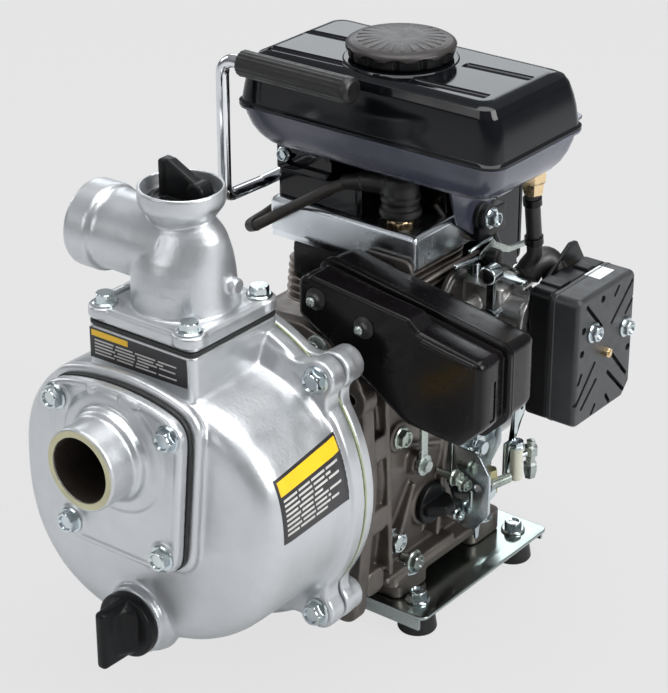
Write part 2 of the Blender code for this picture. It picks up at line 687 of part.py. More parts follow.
def recoil_cover():
    """A domed cover with radial slots, and a side opening for the starter grip."""
    outside = [(330, 77), (341, 75), (350, 66), (356, 50)]
    inside = [(325, 74.5), (340, 73), (348, 64), (353.8, 49)]
    steps = [(ADD, box((-40, 58), (330, 333), (20, 77), 6, "y")),
             (CUT, turned(inside, "y", SHAFT, 36)),
             (CUT, box((-96, -40), (338.5, 347.5), (4.5, 13.5)))]
    for k in range(8):
        slot = spoke(2 * math.pi * (k + 0.5) / 8, 24, 44, 2.2, 3.2)
        steps.append((CUT, prism(slot, 345, 360, "y", SHAFT)))
    finish(combine(turned(outside, "y", SHAFT, 36), steps), "recoil_cover", ENAMEL)


def starter():
    pulley = [(338.6, 6.5), (338.6, 52), (340, 52), (342.5, 46), (345, 52), (346.4, 52),
              (346.4, 6.5)]
    finish(turned_ring(pulley, "y", SHAFT, 32), "starter_pulley", PLASTIC, SHAFT)
    stem = turned([(-79, 6), (-70, 3.8)], "x", (0, 343, 9), 14)
    bar = box((-92, -78), (338, 348), (-14, 32), 5, "x")
    finish(combine(bar, [(ADD, stem)]), "starter_grip", PLASTIC, (-80, 343, 9))


# ================================================================= ignition and exhaust
def cooling_shroud():
    """A folded sheet lid over the cylinder head, open below and behind."""
    x0, x1, y0, y1, wall = -38.0, 67.0, 208.0, 291.0, 1.2
    steps = [(CUT, box((x0 + wall, x1 - wall), (y0 + wall, y1 + 5), (50, 78.8))),
             (CUT, rod(13.2, 70, 90, "z", SPARK))]
    finish(combine(box((x0, x1), (y0, y1), (59.5, 80)), steps), "cooling_shroud", ZINC)


def spark_plug():
    thread = turned([(63, 4.9), (69.5, 4.9), (69.5, 8), (72, 8)], "z", SPARK, 16)
    insulator = turned([(81, 5.2), (98, 4.2), (104, 2.6)], "z", SPARK, 14)
    steps = [(ADD, hex_rod(14.5, 72, 82, "z", SPARK)), (ADD, insulator)]
    finish(combine(thread, steps), "spark_plug", CERAMIC)


def plug_cap():
    """The boot over the plug with its nose and lead."""
    boot = turned([(85, 11.5), (88, 12.2), (104, 10.8), (109.5, 8)], "z", SPARK, 20)
    top = (SPARK_X, SPARK_Y, 103)
    lead = bend([top, (22, 215, 102), (6, 208.5, 95), (-34, 195, 67), (-46, 198, 62),
                 (-46, 212, 64)], 8)
    steps = [(ADD, tube([top, (33, 218.5, 103), (22, 215, 102)], 6.5, 12)),
             (ADD, tube(lead, 3.2, 8)),
             (CUT, rod(8.9, 80, 89, "z", SPARK, 18)),
             (CUT, rod(5.8, 80, 105.5, "z", SPARK, 16))]
    finish(combine(boot, steps), "plug_cap", RUBBER)


# (x, z) corners of the silencer's flange, and the corner radii
MUFFLER = ([(26, 51), (26, 72.6), (156, 51.0), (156, 8), (140, -8), (98, -4), (84, 9)],
           [6, 9, 8, 10, 8, 8, 6])
MUFFLER_WALL = 1.5
MUFFLER_FLANGE = 1.6     # the flange's thickness, and how far it stands out from the shell


def muffler_outline(grow):
    return grown(*MUFFLER, grow, 1)


def muffler_shell(closed_y, joint_y):
    """A stamped half shell: closed at one Y, with its flange at the joint."""
    sign = 1 if joint_y > closed_y else -1
    wall = MUFFLER_WALL

    def form(stations):
        return loft([lifted(muffler_outline(grow - MUFFLER_FLANGE), y, "y")
                     for y, grow in stations])

    outer = form([(closed_y, -4.4), (closed_y + sign * 1.6, -1.6), (closed_y + sign * 6, -0.4),
                  (joint_y, 0)])
    inner = form([(closed_y + sign * wall, -4.4 - wall * .6),
                  (closed_y + sign * 6, -0.4 - wall), (joint_y + sign * 5, -wall)])
    rim = prism(muffler_outline(0.0), *sorted((joint_y, joint_y - sign * MUFFLER_FLANGE)))
    return combine(outer, [(ADD, rim), (CUT, inner)])


def muffler_front():
    steps = [(CUT, box((150, 160), (160, 163.5), (12, 34)))]
    steps += holes([(38.3, 0, 55.2), (73.8, 0, 47.1)], 3.3, 140, 160, "y", 10)
    finish(combine(muffler_shell(150.0, 176.0), steps), "muffler_front", ENAMEL)


def muffler_rear():
    x, z = 50, 49     # the port on the rear face
    steps = [(ADD, tube([(x, 201.6, z), (x, 206.3, z)], 15, 16)),
             (CUT, tube([(x, 195, z), (x, 212, z)], 11, 16))]
    finish(combine(muffler_shell(203.0, 176.3), steps), "muffler_rear", ENAMEL)


# ================================================================= intake
def carburettor():
    barrel = [(58, 17), (62, 17), (62, 13.5), (112, 13.5), (112, 16), (115.6, 16)]
    bowl = [(-16, 12), (-13, 17), (12, 17), (16, 15)]
    steps = [(ADD, box((72, 98), (250, 276), (14, 42), 4)),
             (ADD, turned(bowl, "z", THROTTLE, 22)),
             (CUT, rod(9, 50, 120, "x", CARB, 20))]
    finish(combine(turned(barrel, "x", CARB, 20), steps), "carburettor", STEEL)


def choke_lever():
    steps = [(ADD, box((97, 103), (236, 238.6), (30, 56), 2, "y")),
             (ADD, rod(5.5, 232, 242, "y", (100, 0, 57), 14)),
             (ADD, rod(2, 238, 248, "y", CHOKE, 10))]
    finish(combine(rod(5, 235.5, 239, "y", CHOKE, 14), steps), "choke_lever", STEEL,
           (100, 240, 30))


def throttle_lever():
    arm = box((64, 108), (258.8, 265.2), (42.9, 45.3), 3)
    finish(combine(rod(5, 42.8, 45.4, "z", THROTTLE, 14), [(ADD, arm)]), "throttle_lever", STEEL,
           (85, 262, 44))


# (y, z) corners of the air filter's face, and the corner radii
FILTER = ([(252.0, -34.0), (306.0, -34.0), (314.0, -26.0), (314.0, 47.0), (252.0, 47.0)],
          [4, 3, 3, 4, 4])
# slots cut through the cover: centre y, centre z, angle in degrees, length
FILTER_SLOTS = [(299.5, 31, 42, 31), (308.2, 25.5, 44, 13), (269.5, 32, -47, 27),
                (262.8, -8.5, 48, 30), (267, -16.5, 42, 22), (300, -9.5, -48, 27),
                (297, -19.5, -45, 30)]
# small round holes through the cover: centre y, centre z
FILTER_HOLES = [(278, 40.2), (257.6, 12.9), (309.2, -2), (258.4, 27.2)]


def filter_block(grow, x0, x1, chamfer=0.0):
    return prism(grown(*FILTER, grow), x0, x1, "x", chamfer=chamfer)


def air_filter_case():
    steps = [(CUT, filter_block(-2, 118, 140)), (CUT, rod(10, 110, 125, "x", CARB, 20))]
    finish(combine(filter_block(0.0, 116, 130.5, 1.0), steps), "air_filter_case", PLASTIC)


def air_filter_cover():
    cover = combine(filter_block(0.0, 130.9, 150, 1.2), [(CUT, filter_block(-2, 125, 147.6))])
    half_width = 1.25
    steps = []
    for y, z, angle, length in FILTER_SLOTS:
        outline = rect(-length / 2, length / 2, -half_width, half_width, 0)
        slot = prism(outline, 140, 160, "x", (0, y, z))
        steps.append((CUT, turn(slot, math.radians(angle), "X", (0, y, z))))
    steps += holes([(0, y, z) for y, z in FILTER_HOLES], 2.3, 140, 160, "x", 10)
    finish(combine(cover, steps), "air_filter_cover", PLASTIC)


def air_filter_element():
    finish(filter_block(-3.2, 120, 145.5), "air_filter_element", FOAM)


# ================================================================= fuel
# Tank levels from the seam outward: insets from the -X, +X, -Y and +Y sides, corner radius, z
UPPER_LEVELS = [(0, 0, 0, 0, TANK_CORNER, SEAM_Z), (2, 1, 0.5, 1.5, 10, 158),
                (8, 4, 1.5, 5, 9, 171), (12, 7, 4, 9, 8, 175), (20, 18, 12, 18, 6, 178)]
LOWER_LEVELS = [(0, 0, 0, 0, TANK_CORNER, LOWER_RIM[0]), (2, 2, 1.5, 1.5, 12, 132),
                (9, 8, 7, 7, 14, 123), (22, 20, 18, 18, 12, 118)]


def tank_form(levels, wall=0, mouth_shift=0, shift=0):
    """A tank half as a solid; with a wall it is the hollow, moved in Z at its mouth (the first
    level) and at the other levels."""
    loops = []
    for i, (left, right, front, back, radius, z) in enumerate(levels):
        outline = rect(TANK_X0 + left + wall, TANK_X1 - right - wall,
                       TANK_Y0 + front + wall, TANK_Y1 - back - wall,
                       max(radius - 1, 2) if wall else radius)
        loops.append(lifted(outline, z + (shift if i else mouth_shift)))
    return loft(loops)


def tank_rim(z0, z1):
    seam = rect(TANK_X0, TANK_X1, TANK_Y0, TANK_Y1, TANK_CORNER)
    return prism(offset(seam, 3.0), z0, z1, "z")


def fuel_tank_upper():
    neck = turned_ring([(172, 20), (172, 25), (179.5, 25), (179.5, 20)], "z", CAP, 28)
    steps = [(ADD, tank_rim(SEAM_Z - 1.0, SEAM_Z + 0.6)),
             (CUT, tank_form(UPPER_LEVELS, TANK_WALL, -4, -TANK_WALL)),
             (ADD, neck),
             (CUT, rod(20, 165, 190, "z", CAP, 28))]
    finish(combine(tank_form(UPPER_LEVELS), steps), "fuel_tank_upper", ENAMEL)


def fuel_tank_lower():
    steps = [(ADD, tank_rim(*LOWER_RIM)),
             (ADD, box((112, 128), (268, 287), LOWER_RIM, 3)),
             (CUT, tank_form(LOWER_LEVELS, TANK_WALL, 6, TANK_WALL)),
             (CUT, rod(5.2, 110, 125, "z", (HOSE_X, HOSE_Y, 0), 12))]
    finish(combine(tank_form(LOWER_LEVELS), steps), "fuel_tank_lower", ENAMEL)


def fuel_cap():
    lid = [(179.9, 28.5), (181.5, 30.3), (188, 30.3), (190.2, 28), (191, 10)]
    plug = rod(15, 170, 180.5, "z", CAP)
    finish(combine(turned(lid, "z", CAP, 36), [(ADD, plug)]), "fuel_cap", CAP_PLASTIC,
           (CAP_X, CAP_Y, 180))


def fuel_hose():
    path = bend([(HOSE_X, HOSE_Y, 121), (113, 256.6, 98), (113, 260, 77), (112, 263, 63),
                 (105, 265, 54)], 10)
    finish(tube(path, 4.2, 8), "fuel_hose", RUBBER)


def tank_bracket():
    """Carries the tank over the shroud."""
    steps = [(CUT, box((-38.4, 67.6), (200, 290), (50, 114.8))),
             (CUT, box((60, 80), (200, 240), (50, 112))),
             (CUT, box((-60, -30), (250, 300), (50, 112)))]
    finish(combine(box((-41, 70.5), (214, 284), (60, 117.4), 0, "y"), steps), "tank_bracket",
           ENAMEL)


# ================================================================= fittings
def oil_plug():
    plug = turned([(58, 9.2), (67.8, 9.2), (67.8, 13.5), (71, 13.5)], "x", OIL, 20)
    wing = prism([(70, 213.8), (75.5, 214.2), (84, 221.5), (84, 230.5), (75.5, 237.8),
                  (70, 238.2)], -101.4, -94.6, "z")
    finish(combine(plug, [(ADD, wing)]), "oil_plug", PLASTIC, (68, 226, -98))


def carry_handle():
    """A bent bar, with a block at its lower end."""
    _, y, z = HANDLE
    path = bend([(-49, 262, 84), (-47, 210, 85), (-38, y, 92), (-38, y, z), (50, y, z)], 9)
    block = box((-52.5, -41.5), (252, 268), (79, 89))
    finish(combine(tube(path, 3.9, 10), [(ADD, block)]), "carry_handle", CHROME)


def handle_grip():
    grip = turned([(-27, 6.4), (-25, 7.5), (51, 7.5), (54, 5.8)], "x", HANDLE, 18)
    finish(combine(grip, [(CUT, rod(4.8, -40, 50.4, "x", HANDLE, 20))]), "handle_grip", RUBBER)


def governor_arm():
    arm = box((76.6, 79.2), (201.5, 208.5), (-60, -18), 3, "x")
    finish(combine(rod(6.5, 76.4, 79.4, "x", GOVERNOR, 16), [(ADD, arm)]), "governor_arm", ZINC,
           (78, 205, -60))


def control_bracket():
    """The fixed bracket beside the crankcase."""
    steps = [(ADD, box((72, 100), (242, 244.4), (-118, -64), 4, "y")),
             (CUT, rod(3.2, 60, 80, "x", (0, 285, -66), 12))]
    finish(combine(box((70.5, 73), (242, 296), (-96, -56), 4, "x"), steps), "control_bracket",
           ZINC)


def speed_lever():
    steps = [(ADD, box((73.4, 75.8), (264.5, 271.5), (-76, -44), 3, "x")),
             (ADD, rod(4.5, 73.4, 92, "x", (0, 268, -46), 12))]
    finish(combine(rod(7, 73.4, 76, "x", LEVER, 16), steps), "speed_lever", ZINC,
           (74.5, 268, -76))


# ================================================================= base
def base_plate():
    """A flat plate with a lip folded down along its front and rear edges."""
    lip_x, lip_z = (-PLATE_X + 3, PLATE_X - 3), (PLATE_TOP - 9, PLATE_TOP - 1)
    steps = [(ADD, box(lip_x, (PLATE_Y0, PLATE_Y0 + 2), lip_z)),
             (ADD, box(lip_x, (PLATE_Y1 - 2, PLATE_Y1), lip_z))]
    steps += holes(FEET, 5.4, -160, -140, "z", 12)
    steps += holes(BLOCK_BOLTS, 4, -160, -140, "z", 10)
    plate = box((-PLATE_X, PLATE_X), (PLATE_Y0, PLATE_Y1), (PLATE_TOP - 2, PLATE_TOP), 4)
    finish(combine(plate, steps), "base_plate", ZINC)


def feet():
    """Tapered feet, each with a stem through the plate and a button above it."""
    under, over = PLATE_TOP - 2.4, PLATE_TOP + 0.4
    profile = [(FLOOR_Z, 11.5), (FLOOR_Z + 1, 12), (under, 10), (under, 4.1), (over, 4.1),
               (over, 7), (PLATE_TOP + 3, 7)]
    for i, centre in enumerate(FEET):
        finish(turned(profile, "z", centre, 16), "foot_%d" % (i + 1), RUBBER)


for build in (
        inlet_flange, inlet_gasket, inlet_flap, inlet_bolts, pump_casing, drain_plug,
        discharge_gasket, discharge_elbow, priming_cap, volute, impeller, shaft_seal,
        casing_gasket, back_plate, casing_bolts, crankcase_cover, crankcase, cylinder,
        cylinder_head, piston, crankshaft, flywheel, fan_housing, recoil_cover, starter,
        cooling_shroud, spark_plug, plug_cap, muffler_front, muffler_rear, carburettor,
        choke_lever, throttle_lever, air_filter_case, air_filter_cover, air_filter_element,
        fuel_tank_upper, fuel_tank_lower, fuel_cap, fuel_hose, tank_bracket, oil_plug,
        carry_handle, handle_grip, governor_arm, control_bracket, speed_lever, base_plate, feet):
    build()
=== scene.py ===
"""A portable engine-driven water pump on a base plate.

The shaft runs along Y: the suction port faces -Y (front) and the recoil starter is at +Y (back).
X is to the right seen from the front, and Z is up. Lengths are millimetres from the centre of the
suction port's face, and SHIFT carries them to the frame, which is in metres.
"""
import math
import bpy
import bmesh
from mathutils import Matrix, Vector


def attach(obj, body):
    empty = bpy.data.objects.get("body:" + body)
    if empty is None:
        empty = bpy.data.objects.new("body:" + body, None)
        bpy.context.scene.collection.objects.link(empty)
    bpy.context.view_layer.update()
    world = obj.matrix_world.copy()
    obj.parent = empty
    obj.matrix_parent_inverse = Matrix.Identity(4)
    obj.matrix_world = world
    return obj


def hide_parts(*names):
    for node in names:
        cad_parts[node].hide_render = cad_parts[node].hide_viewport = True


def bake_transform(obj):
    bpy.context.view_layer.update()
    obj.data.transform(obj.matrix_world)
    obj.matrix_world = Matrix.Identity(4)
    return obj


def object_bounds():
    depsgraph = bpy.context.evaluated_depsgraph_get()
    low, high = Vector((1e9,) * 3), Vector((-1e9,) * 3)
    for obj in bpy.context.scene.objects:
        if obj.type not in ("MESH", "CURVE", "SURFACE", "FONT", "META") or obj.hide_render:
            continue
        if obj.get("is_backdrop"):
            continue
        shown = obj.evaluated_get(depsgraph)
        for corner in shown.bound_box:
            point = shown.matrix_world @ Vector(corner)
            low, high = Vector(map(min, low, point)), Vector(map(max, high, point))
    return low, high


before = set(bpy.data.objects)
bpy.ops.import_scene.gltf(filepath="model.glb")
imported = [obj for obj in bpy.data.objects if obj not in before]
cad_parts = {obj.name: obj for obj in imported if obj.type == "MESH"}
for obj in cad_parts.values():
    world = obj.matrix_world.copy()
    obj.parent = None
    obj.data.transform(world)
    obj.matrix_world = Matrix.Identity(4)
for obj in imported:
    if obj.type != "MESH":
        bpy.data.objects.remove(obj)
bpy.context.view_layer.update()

ROOT = "pump_set"                       # the body that carries every fixed piece
COLL = bpy.context.scene.collection
SHIFT = Vector((-29.2, -178.0, 168.0))
ORIGIN = (0, 0, 0)

# pump end
SHAFT_Z = -41.0
SHAFT = (0, 0, SHAFT_Z)
PORT_R, PORT_BORE = 23.9, 19.0
CASING_R, RING_R, EAR_R = 95.0, 98.0, 104.0
RING_Y0, RING_Y1 = 111.5, 122.0         # joint ring of the casing
BACK_Y0, BACK_Y1 = 123.4, 149.7         # back plate
NECK_Y, NECK_HALF, DECK_Z = 88.0, 37.5, 57.0
NECK = (0, NECK_Y, 0)
OUTLET_Z, CUP_TOP = 97.0, 134.6
DRAIN = (0, 0, -112)
INLET_BOLTS = [(-40.5, 21.5), (40.5, 21.5), (33.5, -53.5), (-33.5, -53.5)]
EARS = [(sx * EAR_R * math.sqrt(0.5), SHAFT_Z + sz * EAR_R * math.sqrt(0.5))
        for sx in (-1, 1) for sz in (-1, 1)]
NECK_BOLTS = [(sx * 30, NECK_Y - 1.8 + sy * 29) for sx in (-1, 1) for sy in (-1, 1)]

# engine
CRANK_Y, CYL_TILT, BORE_R = 246.0, math.radians(6.0), 28.0
CRANK = (0, CRANK_Y, SHAFT_Z)
CARB = (0, 262, 24)
PLUG_X, PLUG_Y = 46.3, 222.5            # spark plug
OIL = (0, 226, -98)
ENGINE_BOLTS = [(sx * 66, y) for sx in (-1, 1) for y in (206, 284)]

# fuel tank and filler cap
TANK_X0, TANK_X1, TANK_Y0, TANK_Y1 = -41.0, 136.0, 182.0, 271.5
SEAM_Z = 145.5
CAP_X, CAP_Y = 45.0, 223.0
CAP = (CAP_X, CAP_Y, 0)

# base
PLATE_TOP, FLOOR_Z, PLATE_X, PLATE_Y0, PLATE_Y1 = -149.0, -168.0, 96.0, 183.0, 318.0
FEET = [(-80, 199), (80, 199), (-80, 302), (80, 302)]


# ============================================================ materials
def node(tree, kind, inputs, **settings):
    """Adds a shader node; an input is either a value or the socket that feeds it."""
    new = tree.nodes.new("ShaderNode" + kind)
    for key, value in settings.items():
        setattr(new, key, value)
    for socket, value in inputs.items():
        if isinstance(value, bpy.types.NodeSocket):
            tree.links.new(value, new.inputs[socket])
        else:
            new.inputs[socket].default_value = value
    return new


def noise(tree, where, scale, detail, roughness=0.5):
    return node(tree, "TexNoise", {"Scale": scale, "Detail": detail, "Roughness": roughness,
                                   "Vector": where}).outputs["Fac"]


def remap(tree, value, low, high, to_low, to_high):
    return node(tree, "MapRange", {"From Min": low, "From Max": high, "To Min": to_low,
                                   "To Max": to_high, "Value": value}).outputs["Result"]


def overlay(tree, factor, under, colour):
    return node(tree, "Mix", {"B": (*colour, 1), "Factor": factor, "A": under},
                data_type="RGBA").outputs["Result"]


def bump(tree, height, distance, under):
    inputs = {"Strength": 1.0, "Distance": distance, "Height": height}
    if under:
        inputs["Normal"] = under
    return node(tree, "Bump", inputs).outputs["Normal"]


MATERIALS, SLOTS = {}, {}


def finish(key, name, slot, base, rough, metal, drift, grain, rough_drift, *, grain_detail=2.0,
           tint=None, wear=None, dust=0.0, warp=None, spec=0.5, coat=None):
    """A finish with drifting colour and roughness, fine grain, edges lightened as wear and as a
    painted highlight, and settled dust.
    """
    mat = bpy.data.materials.new(name)
    mat.use_nodes = True
    tree = mat.node_tree
    shader = tree.nodes["Principled BSDF"]
    MATERIALS[key], SLOTS[key] = mat, slot
    plain = node(tree, "TexCoord", {}).outputs["Object"]
    mapped = node(tree, "Mapping", {"Vector": plain}).outputs["Vector"]
    amount, scale = drift
    ramp = node(tree, "ValToRGB", {"Fac": noise(tree, mapped, scale, 4.0, 0.6)})
    dark, light = ramp.color_ramp.elements
    dark.position, light.position = 0.32, 0.70
    dark.color = (*[c * (1 - amount) for c in base], 1)
    light.color = (*[min(1.0, c * (1 + amount)) for c in base], 1)
    colour = ramp.outputs["Color"]
    if tint:
        patches = noise(tree, plain, scale * 0.45, 3.0)
        colour = overlay(tree, remap(tree, patches, 0.42, 0.66, 0.0, tint[3]), colour, tint[:3])
    # convex edges are lightened, as wear and, on the silver paint, as a painted highlight
    if wear:
        edges = node(tree, "NewGeometry", {}).outputs["Pointiness"]
        colour = overlay(tree, remap(tree, edges, 0.53, 0.62, 0.0, wear[3]), colour, wear[:3])
    if dust:
        normal = node(tree, "NewGeometry", {}).outputs["Normal"]
        upward = node(tree, "SeparateXYZ", {"Vector": normal}).outputs["Z"]
        settled = node(tree, "Math", {0: upward, 1: noise(tree, plain, 120.0, 5.0)},
                       operation="MULTIPLY").outputs["Value"]
        colour = overlay(tree, remap(tree, settled, 0.3, 0.8, 0.0, dust), colour,
                         (0.25, 0.24, 0.22))
    tree.links.new(colour, shader.inputs["Base Color"])
    shader.inputs["Metallic"].default_value = metal
    uneven = remap(tree, noise(tree, mapped, scale * 3.1, 3.0), 0.3, 0.7,
                   max(0.02, rough - rough_drift), min(1.0, rough + rough_drift))
    tree.links.new(uneven, shader.inputs["Roughness"])
    shader.inputs["Specular IOR Level"].default_value = spec
    if coat:
        shader.inputs["Coat Weight"].default_value = coat[0]
        shader.inputs["Coat Roughness"].default_value = coat[1]
    relief = None
    if warp:
        relief = bump(tree, noise(tree, plain, warp[1], 1.0), warp[0], None)
    depth, fineness = grain
    relief = bump(tree, noise(tree, mapped, fineness, grain_detail, 0.55), depth, relief)
    tree.links.new(relief, shader.inputs["Normal"])


# key, name, slot, base colour, roughness, metallic, (colour drift, its noise scale),
# (grain depth in metres, its noise scale), roughness drift, extras.
# Extras: tint and the edge colour are a colour and its strength (the edge colour lightens convex
# edges as wear, and on the silver paint as a painted highlight), warp is a depth in metres and a
# noise scale, spec is the specular level, coat is a weight and a roughness.
FINISHES = [
    # the silver paint's near-white edges are mostly a painted highlight along its fillets, with a
    # little wear
    ("silver", "cast_silver_paint", "silver_paint", (0.57, 0.585, 0.60), 0.36, 0.82,
     (0.05, 28), (11e-5, 520), 0.05,
     dict(grain_detail=3, warp=(4e-4, 26), wear=(0.80, 0.81, 0.82, 0.35))),
    ("zinc", "bright_zinc_plate", "zinc", (0.54, 0.60, 0.63), 0.2, 1.0,
     (0.12, 90), (3e-5, 1500), 0.07, dict(tint=(0.62, 0.66, 0.50, 0.25))),
    ("sheet", "polished_sheet", "zinc", (0.80, 0.84, 0.87), 0.24, 1.0,
     (0.05, 30), (1e-5, 800), 0.05, dict(warp=(12e-4, 16))),
    ("plate", "zinc_base_plate", "zinc", (0.42, 0.47, 0.46), 0.16, 1.0,
     (0.08, 22), (12e-6, 900), 0.06, dict(tint=(0.38, 0.45, 0.40, 0.5), warp=(6e-4, 10))),
    # the casting's own dark brown, deepened below the fins' tone as painted shade under the engine
    ("casting", "engine_die_casting", "engine_casting", (0.140, 0.124, 0.112), 0.42, 0.75,
     (0.16, 45), (16e-5, 620), 0.09, dict(grain_detail=3, wear=(0.38, 0.345, 0.31, 0.5))),
    ("fin", "cylinder_casting", "engine_casting", (0.24, 0.205, 0.185), 0.40, 0.8,
     (0.18, 60), (14e-5, 700), 0.1, dict(wear=(0.62, 0.58, 0.54, 0.7))),
    ("enamel", "gloss_black_enamel", "black_enamel", (0.0035, 0.0038, 0.0050), 0.10, 0.0,
     (0.2, 20), (5e-6, 700), 0.03, dict(warp=(7e-4, 14), spec=0.32)),
    ("heat_black", "heat_black_paint", "black_enamel", (0.0042, 0.0034, 0.0038), 0.24, 0.0,
     (0.25, 45), (3e-5, 1100), 0.05, dict(spec=0.24, warp=(3e-4, 25))),
    ("plastic", "black_nylon", "black_plastic", (0.0055, 0.0058, 0.0064), 0.36, 0.0,
     (0.15, 50), (5e-5, 1400), 0.06, dict(spec=0.2)),
    ("filterplastic", "grey_black_plastic", "black_plastic", (0.030, 0.031, 0.033), 0.42, 0.0,
     (0.12, 50), (7e-5, 1300), 0.06, dict(dust=0.02)),
    ("cap", "cap_plastic", "cap_plastic", (0.030, 0.026, 0.025), 0.36, 0.0,
     (0.12, 60), (6e-5, 1300), 0.06, dict(wear=(0.07, 0.062, 0.058, 0.3), spec=0.36)),
    ("rubber", "black_rubber", "rubber", (0.0065, 0.0062, 0.006), 0.42, 0.0,
     (0.2, 70), (6e-5, 1500), 0.1, dict(dust=0.04)),
    ("lead", "lead_sleeve", "rubber", (0.040, 0.034, 0.030), 0.5, 0.0,
     (0.2, 90), (5e-5, 1500), 0.1, {}),
    ("chrome", "chromed_bar", "chrome", (0.70, 0.71, 0.73), 0.07, 1.0,
     (0.04, 60), (4e-6, 1200), 0.03, {}),
    ("brass", "brass", "steel", (0.66, 0.50, 0.30), 0.28, 1.0,
     (0.12, 90), (3e-5, 1200), 0.08, dict(wear=(0.95, 0.75, 0.45, 0.4))),
    ("iron", "grey_iron", "iron", (0.10, 0.10, 0.10), 0.55, 0.7,
     (0.2, 60), (2e-4, 700), 0.1, {}),
    ("steel", "machined_steel", "steel", (0.50, 0.50, 0.50), 0.25, 1.0,
     (0.08, 60), (2e-5, 1500), 0.07, {}),
    ("alloy", "carburettor_alloy", "steel", (0.42, 0.41, 0.40), 0.34, 0.9,
     (0.12, 80), (8e-5, 1100), 0.08, dict(wear=(0.7, 0.69, 0.68, 0.4))),
    ("foam", "filter_foam", "foam", (0.05, 0.05, 0.05), 0.95, 0.0,
     (0.3, 900), (6e-4, 1100), 0.03, {}),
    ("ceramic", "glazed_ceramic", "ceramic", (0.82, 0.80, 0.75), 0.18, 0.0,
     (0.03, 60), (1e-5, 900), 0.04, {}),
    ("gasket", "gasket_rubber", "rubber", (0.010, 0.011, 0.011), 0.5, 0.0,
     (0.2, 80), (5e-5, 1400), 0.1, {}),
    ("paper", "gasket_paper", "rubber", (0.30, 0.33, 0.20), 0.75, 0.0,
     (0.2, 120), (8e-5, 1400), 0.1, {}),
    ("lab_black", "label_black", "black_plastic", (0.020, 0.019, 0.021), 0.35, 0.0,
     (0.1, 60), (1e-5, 900), 0.05, {}),
    ("lab_yellow", "label_yellow", "black_plastic", (0.86, 0.52, 0.015), 0.35, 0.0,
     (0.04, 60), (1e-5, 900), 0.05, {}),
    ("lab_white", "label_white", "black_plastic", (0.55, 0.54, 0.52), 0.4, 0.0,
     (0.1, 90), (1e-5, 900), 0.05, {}),
    ("whiteprint", "white_label", "ceramic", (0.72, 0.74, 0.76), 0.4, 0.0,
     (0.05, 90), (1e-5, 900), 0.05, {}),
    ("lip", "raw_cast_lip", "silver_paint", (0.52, 0.50, 0.33), 0.38, 0.7,
     (0.1, 60), (6e-5, 900), 0.08, {}),
    # dark raw cast colour for the bores, deepened as painted shade inside them
    ("bore", "raw_cast_bore", "silver_paint", (0.075, 0.06, 0.05), 0.5, 0.5,
     (0.35, 35), (2e-4, 600), 0.08, {}),
    ("dullzinc", "dull_zinc_plate", "zinc", (0.40, 0.44, 0.42), 0.3, 1.0,
     (0.15, 90), (5e-5, 1200), 0.09, dict(tint=(0.34, 0.40, 0.30, 0.4))),
    ("greenzinc", "green_zinc_plate", "zinc", (0.26, 0.36, 0.32), 0.25, 1.0,
     (0.15, 90), (4e-5, 1200), 0.08, {}),
    ("dullbrass", "dull_brass", "steel", (0.42, 0.38, 0.22), 0.35, 1.0,
     (0.15, 90), (4e-5, 1200), 0.08, {}),
    ("cream", "cream_sleeve", "zinc", (0.62, 0.62, 0.50), 0.35, 0.2,
     (0.08, 90), (2e-5, 1200), 0.08, {}),
    ("rope", "braided_cord", "rubber", (0.05, 0.05, 0.055), 0.8, 0.0,
     (0.3, 500), (2e-4, 1800), 0.08, {}),
    # black enamel lifted to blue-grey: a painted reflection of the floor and lamps on the lower
    # shell
    ("enamel_blue", "black_enamel_underside", "black_enamel", (0.055, 0.058, 0.085), 0.24, 0.0,
     (0.2, 20), (1e-5, 700), 0.04, dict(warp=(6e-4, 14), spec=0.6, coat=(0.3, 0.15))),
]
for *values, extras in FINISHES:
    finish(*values, **extras)


# ============================================================ outlines
def place(axis, along, u, v, centre):
    """The point at `along` on an axis, with u and v on the other two in X, Y, Z order."""
    x, y, z = {"x": (along, u, v), "y": (u, along, v), "z": (u, v, along)}[axis]
    return Vector((centre[0] + x, centre[1] + y, centre[2] + z))


def lay(outline, axis, along, centre=ORIGIN):
    return [place(axis, along, u, v, centre) for u, v in outline]


def around(items):
    """Each item of a closed list between its two neighbours."""
    return zip(items[-1:] + items[:-1], items, items[1:] + items[:1])


def half_angle(before, corner, after):
    ahead, behind = (before - corner).normalized(), (after - corner).normalized()
    return math.acos(max(-1, min(1, ahead.dot(behind)))) / 2


def fillet(before, corner, after, radius, steps, share):
    """An arc round a corner that takes at most `share` of either side."""
    side1, side2 = (before - corner).normalized(), (after - corner).normalized()
    half = half_angle(before, corner, after)
    run = min(radius / math.tan(half), (before - corner).length * share,
              (after - corner).length * share)
    radius = run * math.tan(half)
    centre = corner + (side1 + side2).normalized() * (radius / math.sin(half))
    start, end = corner + side1 * run - centre, corner + side2 * run - centre
    first, last = math.atan2(start.y, start.x), math.atan2(end.y, end.x)
    sweep = (last - first + math.pi) % (2 * math.pi) - math.pi
    angles = [first + sweep * k / steps for k in range(steps + 1)]
    return [(centre.x + radius * math.cos(t), centre.y + radius * math.sin(t)) for t in angles]


def soften(profile, radius):
    """Rounds the corners of an open profile."""
    out = [profile[0]]
    for triple in zip(profile, profile[1:], profile[2:]):
        before, corner, after = map(Vector, triple)
        if (before - corner).length < 1e-6 or (after - corner).length < 1e-6:
            continue
        angle = 2 * half_angle(before, corner, after)
        if angle > math.radians(165) or corner.y <= 1e-6:
            out.append((corner.x, corner.y))
        else:
            out += fillet(before, corner, after, radius, 3, 0.45)
    out.append(profile[-1])
    return out


